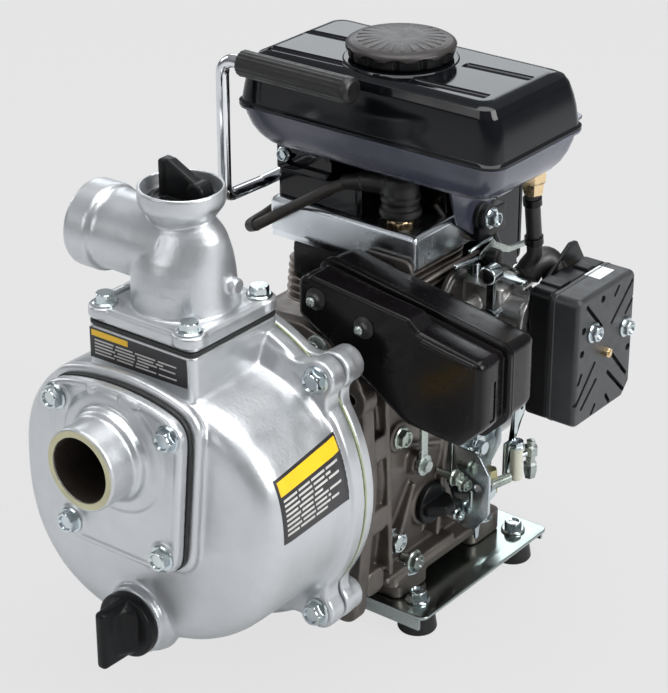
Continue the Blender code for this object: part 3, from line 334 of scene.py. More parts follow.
def offset(outline, distance):
    """Moves a closed outline outward."""
    area = sum(p[0] * q[1] - q[0] * p[1] for p, q in zip(outline, outline[1:] + outline[:1]))
    sign = 1.0 if area > 0 else -1.0
    out = []
    for triple in around(outline):
        before, corner, after = map(Vector, triple)
        run1, run2 = (corner - before).normalized(), (after - corner).normalized()
        normal1 = Vector((run1.y, -run1.x)) * sign
        normal2 = Vector((run2.y, -run2.x)) * sign
        mitre = normal1 + normal2
        if mitre.length > 1e-6:
            mitre = mitre / max(mitre.length_squared, 1e-9) * 2
        else:
            mitre = normal1
        out.append((corner.x + mitre.x * distance, corner.y + mitre.y * distance))
    return out


def per_corner(radii, corners):
    return radii if hasattr(radii, "__len__") else [radii] * len(corners)


def rounded(corners, radii, seg=8):
    out = []
    for triple, radius in zip(around(corners), per_corner(radii, corners)):
        before, corner, after = map(Vector, triple)
        if radius <= 0:
            out.append((corner.x, corner.y))
        else:
            out += fillet(before, corner, after, radius, seg, 0.49)
    return out


def grown(corners, radii, distance, seg=8):
    radii = [max(r + distance, 0.4) for r in per_corner(radii, corners)]
    return rounded(offset(corners, distance), radii, seg)


def oblong(x0, x1, y0, y1):
    return [(x0, y0), (x1, y0), (x1, y1), (x0, y1)]


def rect(x0, x1, y0, y1, radius, seg=8):
    return rounded(oblong(x0, x1, y0, y1), radius, seg)


def smooth_outline(points, times):
    for _ in range(times):
        points = [((a[0] + 2 * b[0] + c[0]) / 4, (a[1] + 2 * b[1] + c[1]) / 4)
                  for a, b, c in around(points)]
    return points


# ============================================================ solids, in millimetres
def loft(rings):
    """Joins rings of points in turn and closes both ends."""
    bm = bmesh.new()
    rows = [[bm.verts.new(p) for p in ring] for ring in rings]
    n = len(rows[0])
    for p, q in zip(rows, rows[1:]):
        for i in range(n):
            j = (i + 1) % n
            bm.faces.new((p[i], p[j], q[j], q[i]))
    bm.faces.new(rows[0][::-1])
    bm.faces.new(rows[-1])
    return bm


def lathe(profile, axis, centre=ORIGIN, n=64, reach=lambda angle, along, radius: radius):
    """Turned shape from (along, radius) points: solid between two points at radius 0, else a ring.

    `reach` gives the true radius at an angle, for sections that are not round.
    """
    bm = bmesh.new()
    rows = []
    for along, radius in profile:
        if radius <= 1e-6:
            rows.append([bm.verts.new(place(axis, along, 0, 0, centre))])
            continue
        row = []
        for i in range(n):
            t = 2 * math.pi * (i + 0.17) / n
            r = reach(t, along, radius)
            point = place(axis, along, r * math.cos(t), r * math.sin(t), centre)
            row.append(bm.verts.new(point))
        rows.append(row)
    solid = len(rows[0]) == 1 and len(rows[-1]) == 1
    for p, q in list(zip(rows, rows[1:])) + ([] if solid else [(rows[-1], rows[0])]):
        for i in range(n):
            j = (i + 1) % n
            if len(p) == 1:
                bm.faces.new((p[0], q[j], q[i]))
            elif len(q) == 1:
                bm.faces.new((p[i], p[j], q[0]))
            else:
                bm.faces.new((p[i], p[j], q[j], q[i]))
    return bm


def turned(profile, axis, centre=ORIGIN, n=64, r=0.6):
    return lathe(soften(profile, r), axis, centre, n)


def cyl(radius, start, end, axis, centre, n=48):
    return lathe([(start, 0), (start, radius), (end, radius), (end, 0)], axis, centre, n)


def rolled(start, end, edge, steps):
    """(along, growth) stations of a slab whose rims are rolled to radius `edge`."""
    angles = [math.pi / 2 * k / steps for k in range(steps + 1)]
    rim = [(start + edge * (1 - math.cos(t)), -edge * (1 - math.sin(t))) for t in angles]
    return rim + [(end - (along - start), growth) for along, growth in reversed(rim)]


def slab(corners, radii, start, end, axis="y", centre=ORIGIN, edge=1.0, seg=8, eseg=3):
    """A rounded-corner outline carried from start to end, with rolled rims."""
    return loft([lay(grown(corners, radii, growth, seg), axis, along, centre)
                 for along, growth in rolled(start, end, edge, eseg)])


def plate(outline, y0, y1, edge):
    """A dense outline carried along Y, with rolled rims."""
    return loft([lay(offset(outline, growth), "y", y) for y, growth in rolled(y0, y1, edge, 3)])


def block(x0, x1, y0, y1, z0, z1, r=2.0, axis="z", edge=0.6, seg=4, eseg=2):
    spans = {"x": (x0, x1), "y": (y0, y1), "z": (z0, z1)}
    start, end = spans.pop(axis)
    (u0, u1), (v0, v1) = spans.values()
    return slab(oblong(u0, u1, v0, v1), r, start, end, axis, edge=edge, seg=seg, eseg=eseg)


def prism(outline, start, end, axis="y"):
    return loft([lay(outline, axis, start), lay(outline, axis, end)])


def box(x0, x1, y0, y1, z0, z1):
    return prism(oblong(x0, x1, y0, y1), z0, z1, "z")


def bend(corners, radius, seg=8):
    """A path through 3D corners, each rounded by an arc."""
    points = [Vector(p) for p in corners]
    out = [points[0]]
    for before, corner, after in zip(points, points[1:], points[2:]):
        side1, side2 = (before - corner).normalized(), (after - corner).normalized()
        half = side1.angle(side2) / 2
        run = min(radius / math.tan(half), (before - corner).length * 0.49,
                  (after - corner).length * 0.49)
        away = run * math.tan(half) / math.sin(half)
        centre = corner + (side1 + side2).normalized() * away
        start, end = corner + side1 * run - centre, corner + side2 * run - centre
        sweep = start.angle(end)
        if sweep < 1e-4:
            out.append(corner)
            continue
        for k in range(seg + 1):
            f = k / seg
            mix = start * math.sin((1 - f) * sweep) + end * math.sin(f * sweep)
            out.append(centre + mix / math.sin(sweep))
    out.append(points[-1])
    return out


def spline(points, per=6):
    """A Catmull-Rom curve through the points."""
    P = [Vector(p) for p in points]
    P = [P[0] * 2 - P[1]] + P + [P[-1] * 2 - P[-2]]
    out = []
    for a, b, c, d in zip(P, P[1:], P[2:], P[3:]):
        for k in range(per):
            t = k / per
            out.append(0.5 * ((2 * b) + (c - a) * t + (2 * a - 5 * b + 4 * c - d) * t * t
                              + (3 * b - a - 3 * c + d) * t ** 3))
    out.append(P[-2])
    return out


def tube(path, radius, n=16, cap=0.5):
    """A round bar with rounded ends; `radius` may be a function of the fraction along it."""
    points = [Vector(p) for p in path]
    run = [0.0]
    for p, q in zip(points, points[1:]):
        run.append(run[-1] + (q - p).length)
    rings = []
    up = None
    last = len(points) - 1
    for i, point in enumerate(points):
        ahead = (points[min(i + 1, last)] - points[max(i - 1, 0)]).normalized()
        if up is None:
            up = ahead.orthogonal().normalized()
        up = (up - ahead * up.dot(ahead)).normalized()
        side = ahead.cross(up)
        r = radius(run[i] / run[-1]) if callable(radius) else radius
        stations = [(Vector((0, 0, 0)), r)]
        if i == 0:
            stations = [(ahead * -cap, r * 0.62), (ahead * -cap * 0.45, r * 0.9)] + stations
        if i == last:
            stations += [(ahead * cap * 0.45, r * 0.9), (ahead * cap, r * 0.62)]
        for shift, size in stations:
            angles = [2 * math.pi * k / n for k in range(n)]
            rings.append([point + shift + up * (size * math.cos(t)) + side * (size * math.sin(t))
                          for t in angles])
    return loft(rings)


def coil(start, end, radius, wire, turns):
    """A spring between two points, with short straight ends."""
    start, end = Vector(start), Vector(end)
    ahead = (end - start).normalized()
    up = ahead.orthogonal().normalized()
    side = ahead.cross(up)
    length = (end - start).length
    lead, per_turn = 2.0, 14
    steps = turns * per_turn
    points = [start]
    for k in range(steps + 1):
        t = 2 * math.pi * k / per_turn
        points.append(start + ahead * (lead + (length - 2 * lead) * k / steps)
                      + up * radius * math.cos(t) + side * radius * math.sin(t))
    points.append(end)
    return tube(points, wire, 10, cap=0.2)


def turn(bm, angle, axis, centre):
    bmesh.ops.rotate(bm, verts=bm.verts, cent=Vector(centre),
                     matrix=Matrix.Rotation(angle, 3, axis))
    return bm


def oriented(bm, direction, at):
    """Turns a mesh modelled along +Z at the origin to a direction, and moves it to a point."""
    rotation = Vector((0, 0, 1)).rotation_difference(Vector(direction).normalized())
    for v in bm.verts:
        v.co = rotation @ v.co + Vector(at)
    return bm


def add(*shapes):
    return [("UNION", shape) for shape in shapes]


def cut(*shapes):
    return [("DIFFERENCE", shape) for shape in shapes]


def combine(base, steps):
    """Applies (operation, bmesh) steps, one Boolean modifier at a time."""
    work = base
    for operation, tool in steps:
        objects = []
        for bm in (work, tool):
            bmesh.ops.recalc_face_normals(bm, faces=bm.faces)
            mesh = bpy.data.meshes.new("work")
            bm.to_mesh(mesh)
            bm.free()
            objects.append(link_object("work", mesh))
        boolean = objects[0].modifiers.new("cut", "BOOLEAN")
        boolean.operation = operation
        boolean.solver = "EXACT"
        boolean.object = objects[1]
        graph = bpy.context.evaluated_depsgraph_get()
        done = bpy.data.meshes.new_from_object(objects[0].evaluated_get(graph))
        work = bmesh.new()
        work.from_mesh(done)
        bmesh.ops.remove_doubles(work, verts=work.verts, dist=0.002)
        bmesh.ops.dissolve_degenerate(work, edges=work.edges, dist=0.001)
        for ob in objects:
            bpy.data.objects.remove(ob, do_unlink=True)
    return work


# ============================================================ writing pieces
def link_object(name, data):
    ob = bpy.data.objects.new(name, data)
    COLL.objects.link(ob)
    return ob


def to_frame(point):
    return (Vector(point) + SHIFT) * 0.001


def solid_object(bm, name, mat):
    bmesh.ops.recalc_face_normals(bm, faces=bm.faces)
    for v in bm.verts:
        v.co = to_frame(v.co)
    mesh = bpy.data.meshes.new(name)
    bm.to_mesh(mesh)
    bm.free()
    ob = link_object(name, mesh)
    mesh.materials.append(MATERIALS[mat])
    mesh.shade_smooth()
    return ob


def piece(bm, name, mat, replaces="", body=ROOT, angle=35):
    """Writes a bmesh as a piece that rides on a body; edges sharper than `angle` stay sharp."""
    ob = solid_object(bm, name, mat)
    ob.data.set_sharp_from_angle(angle=math.radians(angle))
    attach(ob, body)
    if replaces:
        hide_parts(replaces)
    return ob


def modify(ob, name, kind, **settings):
    modifier = ob.modifiers.new(name, kind)
    for key, value in settings.items():
        setattr(modifier, key, value)


def apply_modifiers(ob):
    graph = bpy.context.evaluated_depsgraph_get()
    mesh = bpy.data.meshes.new_from_object(ob.evaluated_get(graph))
    mats = list(ob.data.materials)
    ob.modifiers.clear()
    old = ob.data
    ob.data = mesh
    if not len(mesh.materials):
        for mat in mats:
            mesh.materials.append(mat)
    bpy.data.meshes.remove(old)


def cast(bm, name, mat, replaces="", body=ROOT, voxel=0.9, iters=4):
    """A casting: remeshed finely and relaxed, so every joint gets a small fillet."""
    ob = piece(bm, name, mat, replaces, body)
    ob.data.shade_smooth()
    modify(ob, "skin", "REMESH", mode="VOXEL", voxel_size=voxel * 0.001, use_smooth_shade=True)
    modify(ob, "relax", "SMOOTH", factor=0.5, iterations=iters)
    apply_modifiers(ob)
    ob.data.shade_smooth()


def crisp(bm, name, mat, replaces="", bevel=0.6, seg=3, angle=28):
    """A pressed or moulded part: its edges are bevelled round."""
    ob = piece(bm, name, mat, replaces)
    modify(ob, "edge", "BEVEL", width=bevel * 0.001, segments=seg, limit_method="ANGLE",
           angle_limit=math.radians(angle), use_clamp_overlap=True, miter_outer="MITER_ARC")
    apply_modifiers(ob)
    ob.data.shade_smooth()
    ob.data.set_sharp_from_angle(angle=math.radians(42))
    modify(ob, "normals", "WEIGHTED_NORMAL", keep_sharp=True)
    apply_modifiers(ob)


def hex_head(across, height, flange=0.0, flange_h=1.6, recess=0.0):
    """A hexagon head up from z=0, with a pressed flange, chamfered crown and crown recess."""
    flat = across / 2

    def hexagon(t):
        return flat / math.cos((t % (math.pi / 3)) - math.pi / 6)

    def circle(radius):
        return lambda t: radius
    levels = []
    if flange:
        levels += [(0.0, circle(flange - 0.3)), (0.25, circle(flange)),
                   (flange_h * 0.6, circle(flange - 0.05)),
                   (flange_h, lambda t: max(hexagon(t) + 0.25, flange * 0.86))]
    levels += [(flange_h if flange else 0.0, hexagon), (height - 1.1, hexagon),
               (height - 0.45, lambda t: min(hexagon(t), flat * 1.085)),
               (height, lambda t: min(hexagon(t), flat * 0.97)), (height, circle(flat * 0.80))]
    if recess:
        levels += [(height - recess, circle(flat * share)) for share in (0.66, 0.3)]
    angles = [2 * math.pi * i / 48 for i in range(48)]
    return loft([[(reach(t) * math.cos(t), reach(t) * math.sin(t), z) for t in angles]
                 for z, reach in levels])


def bolt(name, at, direction, across, height, flange, shank=0.0, shank_r=0.0, mat="zinc",
         replaces="", recess=1.2, spin=0.0):
    """A bolt whose head stands on `at` and looks along `direction`; its shank runs back."""
    bm = hex_head(across, height, flange, recess=recess)
    if spin:
        turn(bm, spin, "Z", ORIGIN)
    if shank:
        stem = [(-shank, 0), (-shank, shank_r), (0.3, shank_r), (0.3, 0)]
        bm = combine(bm, add(turned(stem, "z", n=24, r=0.8)))
    piece(oriented(bm, direction, at), name, mat, replaces, angle=28)


FRONT, RIGHT, UP = (0, -1, 0), (1, 0, 0), (0, 0, 1)


# ============================================================ suction flange
def flange_outline():
    """A four-cornered flange with an arched top, cut into short runs and smoothed."""
    seg = 10
    base = rounded([(-50, 32.5), (50, 32.5), (41.8, -65), (-41.8, -65)], [13, 13, 12, 12], seg)
    arch = [(x, 32.5 + 5.2 * (1 - (x / 39.0) ** 2)) for x in range(-34, 35, 4)]
    out = base[:seg + 1] + arch + base[seg + 1:]
    # long straight runs are split so that the smoothing stays local
    dense = []
    for p, q in zip(out, out[1:] + out[:1]):
        k = max(1, int(math.hypot(q[0] - p[0], q[1] - p[1]) / 4))
        dense += [(p[0] + (q[0] - p[0]) * j / k, p[1] + (q[1] - p[1]) * j / k) for j in range(k)]
    return smooth_outline(dense, 4)


FLANGE = flange_outline()


def border_bar(low, high):
    """A raised bar along the flange's edge between two headings in degrees."""
    headings = [math.degrees(math.atan2(v + 8, u)) % 360 for u, v in FLANGE]
    outer, inner = offset(FLANGE, -1.0), offset(FLANGE, -5.2)
    pick = [i for i, heading in enumerate(headings) if low <= heading <= high]
    pick.sort(key=lambda i: headings[i])
    points = [outer[i] for i in pick] + [inner[i] for i in reversed(pick)]
    return plate(smooth_outline(points, 1), 25.3, 28, 0.5)


# (y, radius)
SUCTION_PIPE = [
    (0.05, 0), (0.05, PORT_R - 0.8), (0.9, PORT_R), (16.0, PORT_R), (17.4, 24.3), (18.4, 25.6),
    (19.2, 26.3), (22.6, 27.0), (23.6, 27.6), (24.3, 29.0), (24.7, 31.6), (25.2, 33.6),
    (26.2, 35.4), (30, 37.5), (30, 0)]
rim_bead = combine(plate(offset(FLANGE, -0.7), 26.3, 30, 0.7),
                   cut(prism(offset(FLANGE, -3.6), 20, 40)))
steps = add(lathe(SUCTION_PIPE, "y", n=128), rim_bead, border_bar(60, 84), border_bar(98, 116))
for x, z in INLET_BOLTS:
    steps += add(turned([(25.9, 0), (25.9, 8.5), (30, 8.9), (30, 0)], "y", (x, 0, z), 48))
steps += cut(cyl(PORT_BORE, -5, 40, "y", ORIGIN, 96))
cast(combine(plate(FLANGE, 27, 33, 1.1), steps), "suction_flange", "silver", "inlet_flange",
     voxel=0.7, iters=5)
# the turned lip at the port's mouth, and behind it a dark liner in the bore: raw cast colour
# deepened into painted shade
piece(lathe([(0.0, 19.1), (0.0, 22.6), (0.5, 23.2), (1.2, 23.3), (1.2, 19.1)], "y", n=96),
      "suction_lip", "lip")
piece(lathe([(0.9, 18.75), (0.9, 19.2), (32.8, 19.2), (32.8, 18.75)], "y", n=96),
      "suction_bore_shade_skin", "bore")

wavy = [(u + 0.25 * math.sin(0.31 * i), v + 0.25 * math.cos(0.23 * i))
        for i, (u, v) in enumerate(offset(FLANGE, 0.7))]
piece(combine(plate(wavy, 33.15, 35.85, 0.7), cut(cyl(28, 30, 40, "y", ORIGIN, 64))),
      "suction_gasket_skin", "gasket", "inlet_gasket")

for i, (x, z) in enumerate(INLET_BOLTS):
    bolt("suction_screw_%d" % (i + 1), (x, 25.9, z), FRONT, 11.0, 6.0, 7.9, 23, 3.4,
         replaces="inlet_bolt_%d" % (i + 1), spin=0.4 + i * 0.7)

# ============================================================ pump casing
# (y, radius) of the drum's outside, before its section is squared
CASING = [
    (41.5, 0), (41.5, 60), (41.6, 70), (42.0, 76), (42.7, 81), (44.0, 85.6), (45.6, 88.6),
    (47.6, 90.8), (50.2, 92.6), (53.6, 94.0), (57.6, 94.8), (62, 95), (80, 95), (97, 95),
    (104, 95), (109, 95.2), (RING_Y0 - 0.6, 95.4), (RING_Y0, CASING_R + 0.8),
    (RING_Y0 + 0.4, RING_R - 0.6), (RING_Y0 + 1.2, RING_R), (RING_Y1 - 0.4, RING_R),
    (RING_Y1, RING_R - 0.4), (RING_Y1, 0)]
CASING_HOLLOW = [
    (45.8, 0), (45.8, 60), (46.6, 70), (49.5, 79), (54, 85), (60, 88.5), (70, 90), (104, 90),
    (110, 89.6), (125, 89.6), (125, 0)]


def casing_reach(angle, y, radius):
    """The drum's section: squarer than a circle and lower above the shaft than below it.

    It turns round again at the joint ring.
    """
    c, s = abs(math.cos(angle)), abs(math.sin(angle))
    if math.sin(angle) >= 0:
        height, power = 75.7, 2.6
    else:
        height, power = 85.0, (2.0 if math.cos(angle) >= 0 else 2.4)
    width = 90.5 if math.cos(angle) < 0 else 95.0
    r = ((c / width) ** power + (s / height) ** power) ** (-1 / power)
    f = min(1.0, max(0.0, (y - 102.0) / 9.0))
    f = f * f * (3 - 2 * f)
    return radius * ((r / 95.0) * (1 - f) + f)


def ear(centre, y0, y1):
    """A bolt ear: a round eye whose sides run into the joint ring as shallow curves."""
    eye_x, eye_z = centre
    heading = math.atan2(eye_z - SHAFT_Z, eye_x)
    angles = [heading - math.pi / 2 + math.pi * k / 16 for k in range(17)]
    points = [(eye_x + 11.0 * math.cos(t), eye_z + 11.0 * math.sin(t)) for t in angles]

    def polar(radius, turned_by):
        t = heading + turned_by
        return (radius * math.cos(t), SHAFT_Z + radius * math.sin(t))
    for spread, start in ((0.30, Vector(points[-1])), (-0.30, Vector(points[0]))):
        end = Vector(polar(95.0, spread))
        pull = Vector(polar(RING_R, spread * 0.42))
        curve = [start * (1 - t) ** 2 + pull * 2 * t * (1 - t) + end * t * t
                 for t in [k / 8 for k in range(1, 9)]]
        side = [(p.x, p.y) for p in curve] + [polar(84, spread)]
        points += side if spread > 0 else side[::-1]
    return plate(points, y0, y1, 0.9)


# (y, growth of the flange outline) where the casing swells to seat the flange
SEAT = [(36, 1.6), (36.1, 2.8), (36.6, 3.8), (37.4, 4.4), (38.6, 4.7), (40.6, 4.6), (42.2, 4.0),
        (43.8, 2.6), (45.4, 0.6), (47.2, -2.2), (49.5, -6.0)]
# (z, growth of the neck outline)
NECK_STATIONS = [(5, -0.5), (24, 2.2), (29, 1.6), (33, 0.6), (37, 0.0), (49.5, 0.0), (51.5, 0.2),
                 (DECK_Z - 0.6, 0.4), (DECK_Z, 0.0)]
neck_outline = oblong(-NECK_HALF, NECK_HALF, 50.5, 121.8)
steps = add(*[ear(centre, 109.8, RING_Y1 - 0.1) for centre in EARS])
steps += add(
    loft([lay(offset(FLANGE, growth), "y", y) for y, growth in SEAT]),
    loft([lay(grown(neck_outline, 4, growth), "z", z) for z, growth in NECK_STATIONS]),
    turned([(35.6, 0), (35.6, 19.6), (37, 20.2), (41, 20.8), (44, 22.6), (50, 24), (50, 0)],
           "y", DRAIN, 72),
    # a rounded pad under the drum
    lathe([(56, 0), (58, 5), (62, 6.5), (76, 6), (84, 0)], "y", (7, 0, SHAFT_Z - 81.5), 32))
steps += cut(
    lathe(CASING_HOLLOW, "y", SHAFT, 96, casing_reach), cyl(30, 30, 75, "y", ORIGIN, 64),
    cyl(27, -5, 70, "z", NECK, 64), cyl(12.8, 30, 70, "y", DRAIN, 48),
    box(-125, 125, 97, 140, DECK_Z, 80), box(-60, 60, 20, 140, DECK_Z, 80))
for x, z in INLET_BOLTS:
    if z < 0:
        steps += add(cyl(8.5, 43, 53.5, "y", (x, 0, z), 32))
    steps += cut(cyl(3.7, 30, 52, "y", (x, 0, z), 24))
steps += cut(*[cyl(3.9, 100, 130, "y", (x, 0, z), 24) for x, z in EARS])
cast(combine(lathe(CASING, "y", SHAFT, 176, casing_reach), steps), "casing_skin", "silver",
     "pump_casing", voxel=0.95, iters=7)

# paper gasket between casing and back plate
piece(combine(lathe([(122.1, 90), (122.1, 97.9), (123.3, 97.9), (123.3, 90)], "y", SHAFT, 128),
              cut(box(-60, 60, 120, 125, DECK_Z - 0.6, 80))),
      "joint_gasket_skin", "paper", "casing_gasket")

# back plate with its round bosses
back = lathe([(BACK_Y0, 0), (BACK_Y0, RING_R - 1.4), (BACK_Y0 + 0.7, RING_R - 0.7),
              (130.4, RING_R - 0.7), (131.2, RING_R - 1.6), (133.5, 94), (134, 70), (138, 62),
              (BACK_Y1, 60), (BACK_Y1, 0)], "y", SHAFT, 144)
steps = []
for x, z in EARS:
    boss = [(BACK_Y0 + 0.2, 0), (BACK_Y0 + 0.2, 10.8), (138.9, 10.5), (139.3, 10.2), (139.3, 0)]
    steps += add(ear((x, z), BACK_Y0 + 0.1, 131.5), turned(boss, "y", (x, 0, z), 48, r=1.0))
steps += cut(cyl(10.5, 110, 160, "y", SHAFT, 48),
             lathe([(137, 24), (137, 48), (155, 52), (155, 24)], "y", SHAFT, 96),
             box(-60, 60, 110, 140, DECK_Z - 0.6, 80))
cast(combine(back, steps), "adapter_plate_skin", "silver", "back_plate", voxel=0.95, iters=5)
for i, (x, z) in enumerate(EARS):
    bolt("casing_screw_%d" % (i + 1), (x, 109.8, z), FRONT, 11.2, 6.8, 8.3, 25, 3.4,
         replaces="casing_bolt_%d" % (i + 1), spin=0.2 + i * 0.5)

# drain plug: a disc with an upright wing that flares into it
disc = turned([(28.6, 0), (28.6, 18.3), (29.6, 19.4), (34.6, 19.4), (35.2, 18.6), (35.2, 11),
               (52, 11), (52, 0)], "y", DRAIN, 96, r=1.0)
wing = slab([(-4.0, 31), (-3.4, 8.2), (3.4, 8.2), (4.0, 31)], [0.5, 2.6, 2.6, 0.5], -18.0, 18.0,
            "z", DRAIN, edge=2.2, seg=5)
# (y, half width, half height)
FLARE = [(31, 12, 18.0), (28.2, 9.6, 17.2), (25.4, 6.8, 16.4), (22, 4.8, 15.8), (17, 3.9, 15.4)]
flare = loft([lay(rect(-half_x, half_x, -half_z, half_z, min(half_x, half_z) * 0.9, 6),
                  "y", y, DRAIN) for y, half_x, half_z in FLARE])
cast(combine(disc, add(wing, flare)), "drain_plug_skin", "plastic", "drain_plug", "drain_plug",
     voxel=0.55, iters=3)

# ============================================================ discharge elbow and priming cap
deck_outline = oblong(-38, 38, 50.2, 122.2)
piece(combine(slab(deck_outline, 5, 57.15, 59.65, "z", edge=0.6),
              cut(cyl(27, 50, 70, "z", NECK, 64))),
      "discharge_gasket_skin", "gasket", "discharge_gasket")


def oval(z, half_x, half_y, n=96):
    angles = [2 * math.pi * (i + 0.17) / n for i in range(n)]
    return [Vector((half_x * math.cos(t), NECK_Y + half_y * math.sin(t), z)) for t in angles]


# (z, half width, half depth) of the upright body
BODY = [(60, 30.4, 30.4), (68.6, 29.8, 29.8), (74, 29.3, 29.1), (80, 29.1, 28.7),
        (86, 28.9, 27.9), (92, 28.5, 26.7), (98, 28.1, 24.8), (104, 27.6, 21.8),
        (108.5, 26.8, 19.6), (112, 25.2, 17.8), (115, 22.8, 15.8), (117.5, 19.8, 13.4),
        (119.5, 16.0, 10.0), (121, 10.0, 6.0)]
# (x, radius) of the outlet, which points left
OUTLET = [(-66, 0), (-66, 23.6), (-65.0, 24.8), (-63.8, 25), (-51.5, 25), (-49.6, 24.4),
          (-48.2, 22.9), (-46, 22.4), (-20, 22.6), (0, 23.4), (8, 20), (13, 12), (15, 0)]
# (z, radius) of the priming cup
CUP = [(84, 0), (92, 8), (104, 13), (110, 14.8), (114, 16.0), (117, 17.8), (120, 20.0),
       (122.5, 21.8), (124.5, 23.1), (126.2, 23.8), (128, 24.0), (CUP_TOP - 0.8, 23.9),
       (CUP_TOP, 23.2), (CUP_TOP, 0)]
OUTLET_AXIS = (0, NECK_Y, OUTLET_Z)
bead = combine(slab(oblong(-37, 37, 51.2, 121.2), 4.5, 64, 68.6, "z", edge=0.7),
               cut(slab(oblong(-33.4, 33.4, 54.8, 117.6), 4, 60, 75, "z", edge=0.1, seg=6)))
steps = add(loft([oval(*station) for station in BODY]), lathe(OUTLET, "x", OUTLET_AXIS, 112),
            lathe(CUP, "z", NECK, 112), bead)
for x, y in NECK_BOLTS:
    steps += add(turned([(62, 0), (62, 9.6), (68.4, 9.2), (68.4, 0)], "z", (x, y, 0), 40, r=0.8))
steps += add(turned([(20, 0), (20, 5.4), (33.5, 4.6), (33.5, 0)], "x", (0, NECK_Y + 6, 82), 36,
                    r=1.0),
             block(-6, 8, 60, 116, 75.5, 76.8, 0.5))
steps += cut(cyl(22, 50, 98, "z", NECK, 72), cyl(18.5, -75, 2, "x", OUTLET_AXIS, 72),
             cyl(13.9, 90, 130, "z", NECK, 64),
             lathe([(122.5, 0), (122.5, 19.2), (124.5, 20.6), (127, 21.7), (140, 22.3), (140, 0)],
                   "z", NECK, 96))
cast(combine(slab(deck_outline, 5, 59.8, 67.6, "z", edge=1.2, seg=10), steps), "elbow_skin",
     "silver", "discharge_elbow", voxel=0.7, iters=6)
# dark liner in the outlet bore: raw cast colour deepened into painted shade
piece(lathe([(-65.9, 18.3), (-65.9, 18.8), (-4, 18.8), (-4, 18.3)], "x", OUTLET_AXIS, 72),
      "discharge_bore_shade_skin", "bore")
for i, (x, y) in enumerate(NECK_BOLTS):
    bolt("discharge_screw_%d" % (i + 1), (x, y, 68.5), UP, 9.8, 6.2, 7.4, 16, 3.2, recess=0,
         spin=0.3 + i * 0.9)

# priming cap: a blade with a round knob at its right end and a post at its left
stopper = turned([(108, 0), (108, 13.2), (122.8, 13.2), (122.8, 18.2), (123.6, 18.8),
                  (127.4, 18.8), (128.2, 18.0), (128.2, 15.6), (126.9, 15.0), (126.9, 0)],
                 "z", NECK, 96, r=0.4)
blade = slab([(-12.8, 125), (17.6, 125), (18.0, 137), (13.6, 138.8), (7.6, 141.4),
              (-5.6, 148.0), (-12.8, 148.0)], [0.5, 0.5, 4.0, 5, 6, 3, 2.4],
             NECK_Y - 3.6, NECK_Y + 3.6, edge=1.6, seg=6)
knob = turned([(NECK_Y - 5.4, 0), (NECK_Y - 5.4, 5.4), (NECK_Y + 5.4, 5.4), (NECK_Y + 5.4, 0)],
              "y", (13.4, 0, 134.0), 40, r=1.4)
post = slab([(-12.8, 125), (-7.8, 125), (-7.8, 147.6), (-12.8, 147.8)], 1.5,
            NECK_Y - 4.6, NECK_Y + 4.6, edge=1.6, seg=4)
cast(combine(stopper, add(blade, knob, post)), "priming_cap_skin", "plastic", "priming_cap",
     "priming_cap", voxel=0.5, iters=3)


# ============================================================ labels
def within(corners, u, v):
    """The point at fractions u and v between four corners given in turn."""
    a, b, c, d = map(Vector, corners)
    return (a * (1 - u) + b * u) * (1 - v) + (d * (1 - u) + c * u) * v


def decal(name, corners, wrap, mat, lift, across, down, thick):
    """A thin printed film: a grid whose points `wrap` pushes onto the surface."""
    bm = bmesh.new()
    layers = []
    for height in (lift, lift + thick):
        layers.append([[bm.verts.new(wrap(within(corners, i / across, j / down), height))
                        for j in range(down + 1)] for i in range(across + 1)])
    under, top = layers
    for i in range(across):
        for j in range(down):
            bm.faces.new((top[i][j], top[i + 1][j], top[i + 1][j + 1], top[i][j + 1]))
            bm.faces.new((under[i][j + 1], under[i + 1][j + 1], under[i + 1][j], under[i][j]))
    for i in range(across):
        bm.faces.new((under[i][0], under[i + 1][0], top[i + 1][0], top[i][0]))
        bm.faces.new((under[i + 1][down], under[i][down], top[i][down], top[i + 1][down]))
    for j in range(down):
        bm.faces.new((under[0][j + 1], under[0][j], top[0][j], top[0][j + 1]))
        bm.faces.new((under[across][j], under[across][j + 1], top[across][j + 1],
                      top[across][j]))
    piece(bm, name, mat)


def front_wrap(point, height):
    return Vector((point.x, 50.4 - height, point.z))


def barrel_wrap(point, height):
    """Onto the casing: the point's x is an angle in degrees about the shaft, its y is along it."""
    angle, y = math.radians(point.x), point.y
    radius = next(r0 + (r1 - r0) * (y - y0) / (y1 - y0)
                  for (y0, r0), (y1, r1) in zip(CASING, CASING[1:]) if y0 <= y <= y1)
    r = casing_reach(angle, y, radius) - 0.12 + height
    return Vector((r * math.cos(angle), y, SHAFT_Z + r * math.sin(angle)))


# how long the bars are, as fractions
BAR_SHARES = [0.83, 0.62, 0.91, 0.74, 0.88, 0.57, 0.95, 0.69]


def label(prefix, corners, wrap, band, bars):
    """A dark film with a yellow band and rows of plain bars in place of print."""
    def part_of(u0, u1, v0, v1):
        return [within(corners, u, v) for u, v in oblong(u0, u1, v0, v1)]
    decal(prefix, corners, wrap, "lab_black", lift=0.1, across=30, down=16, thick=0.2)
    decal(prefix + "_band", part_of(*band), wrap, "lab_yellow", lift=0.28, across=16, down=4,
          thick=0.12)
    for row, (v0, v1) in enumerate(bars):
        u = 0.05
        part = 0
        while u < 0.9:
            width = 0.10 + 0.12 * BAR_SHARES[(row * 3 + part) % 8]
            end = min(u + width, 0.05 + 0.88 * BAR_SHARES[(row + 2) % 8] + 0.06, 0.94)
            if end - u > 0.02:
                decal("%s_bar_%d_%d" % (prefix, row, part), part_of(u, end, v0, v1), wrap,
                      "lab_white", lift=0.28, across=3, down=1, thick=0.08)
            u += width + 0.025
            part += 1


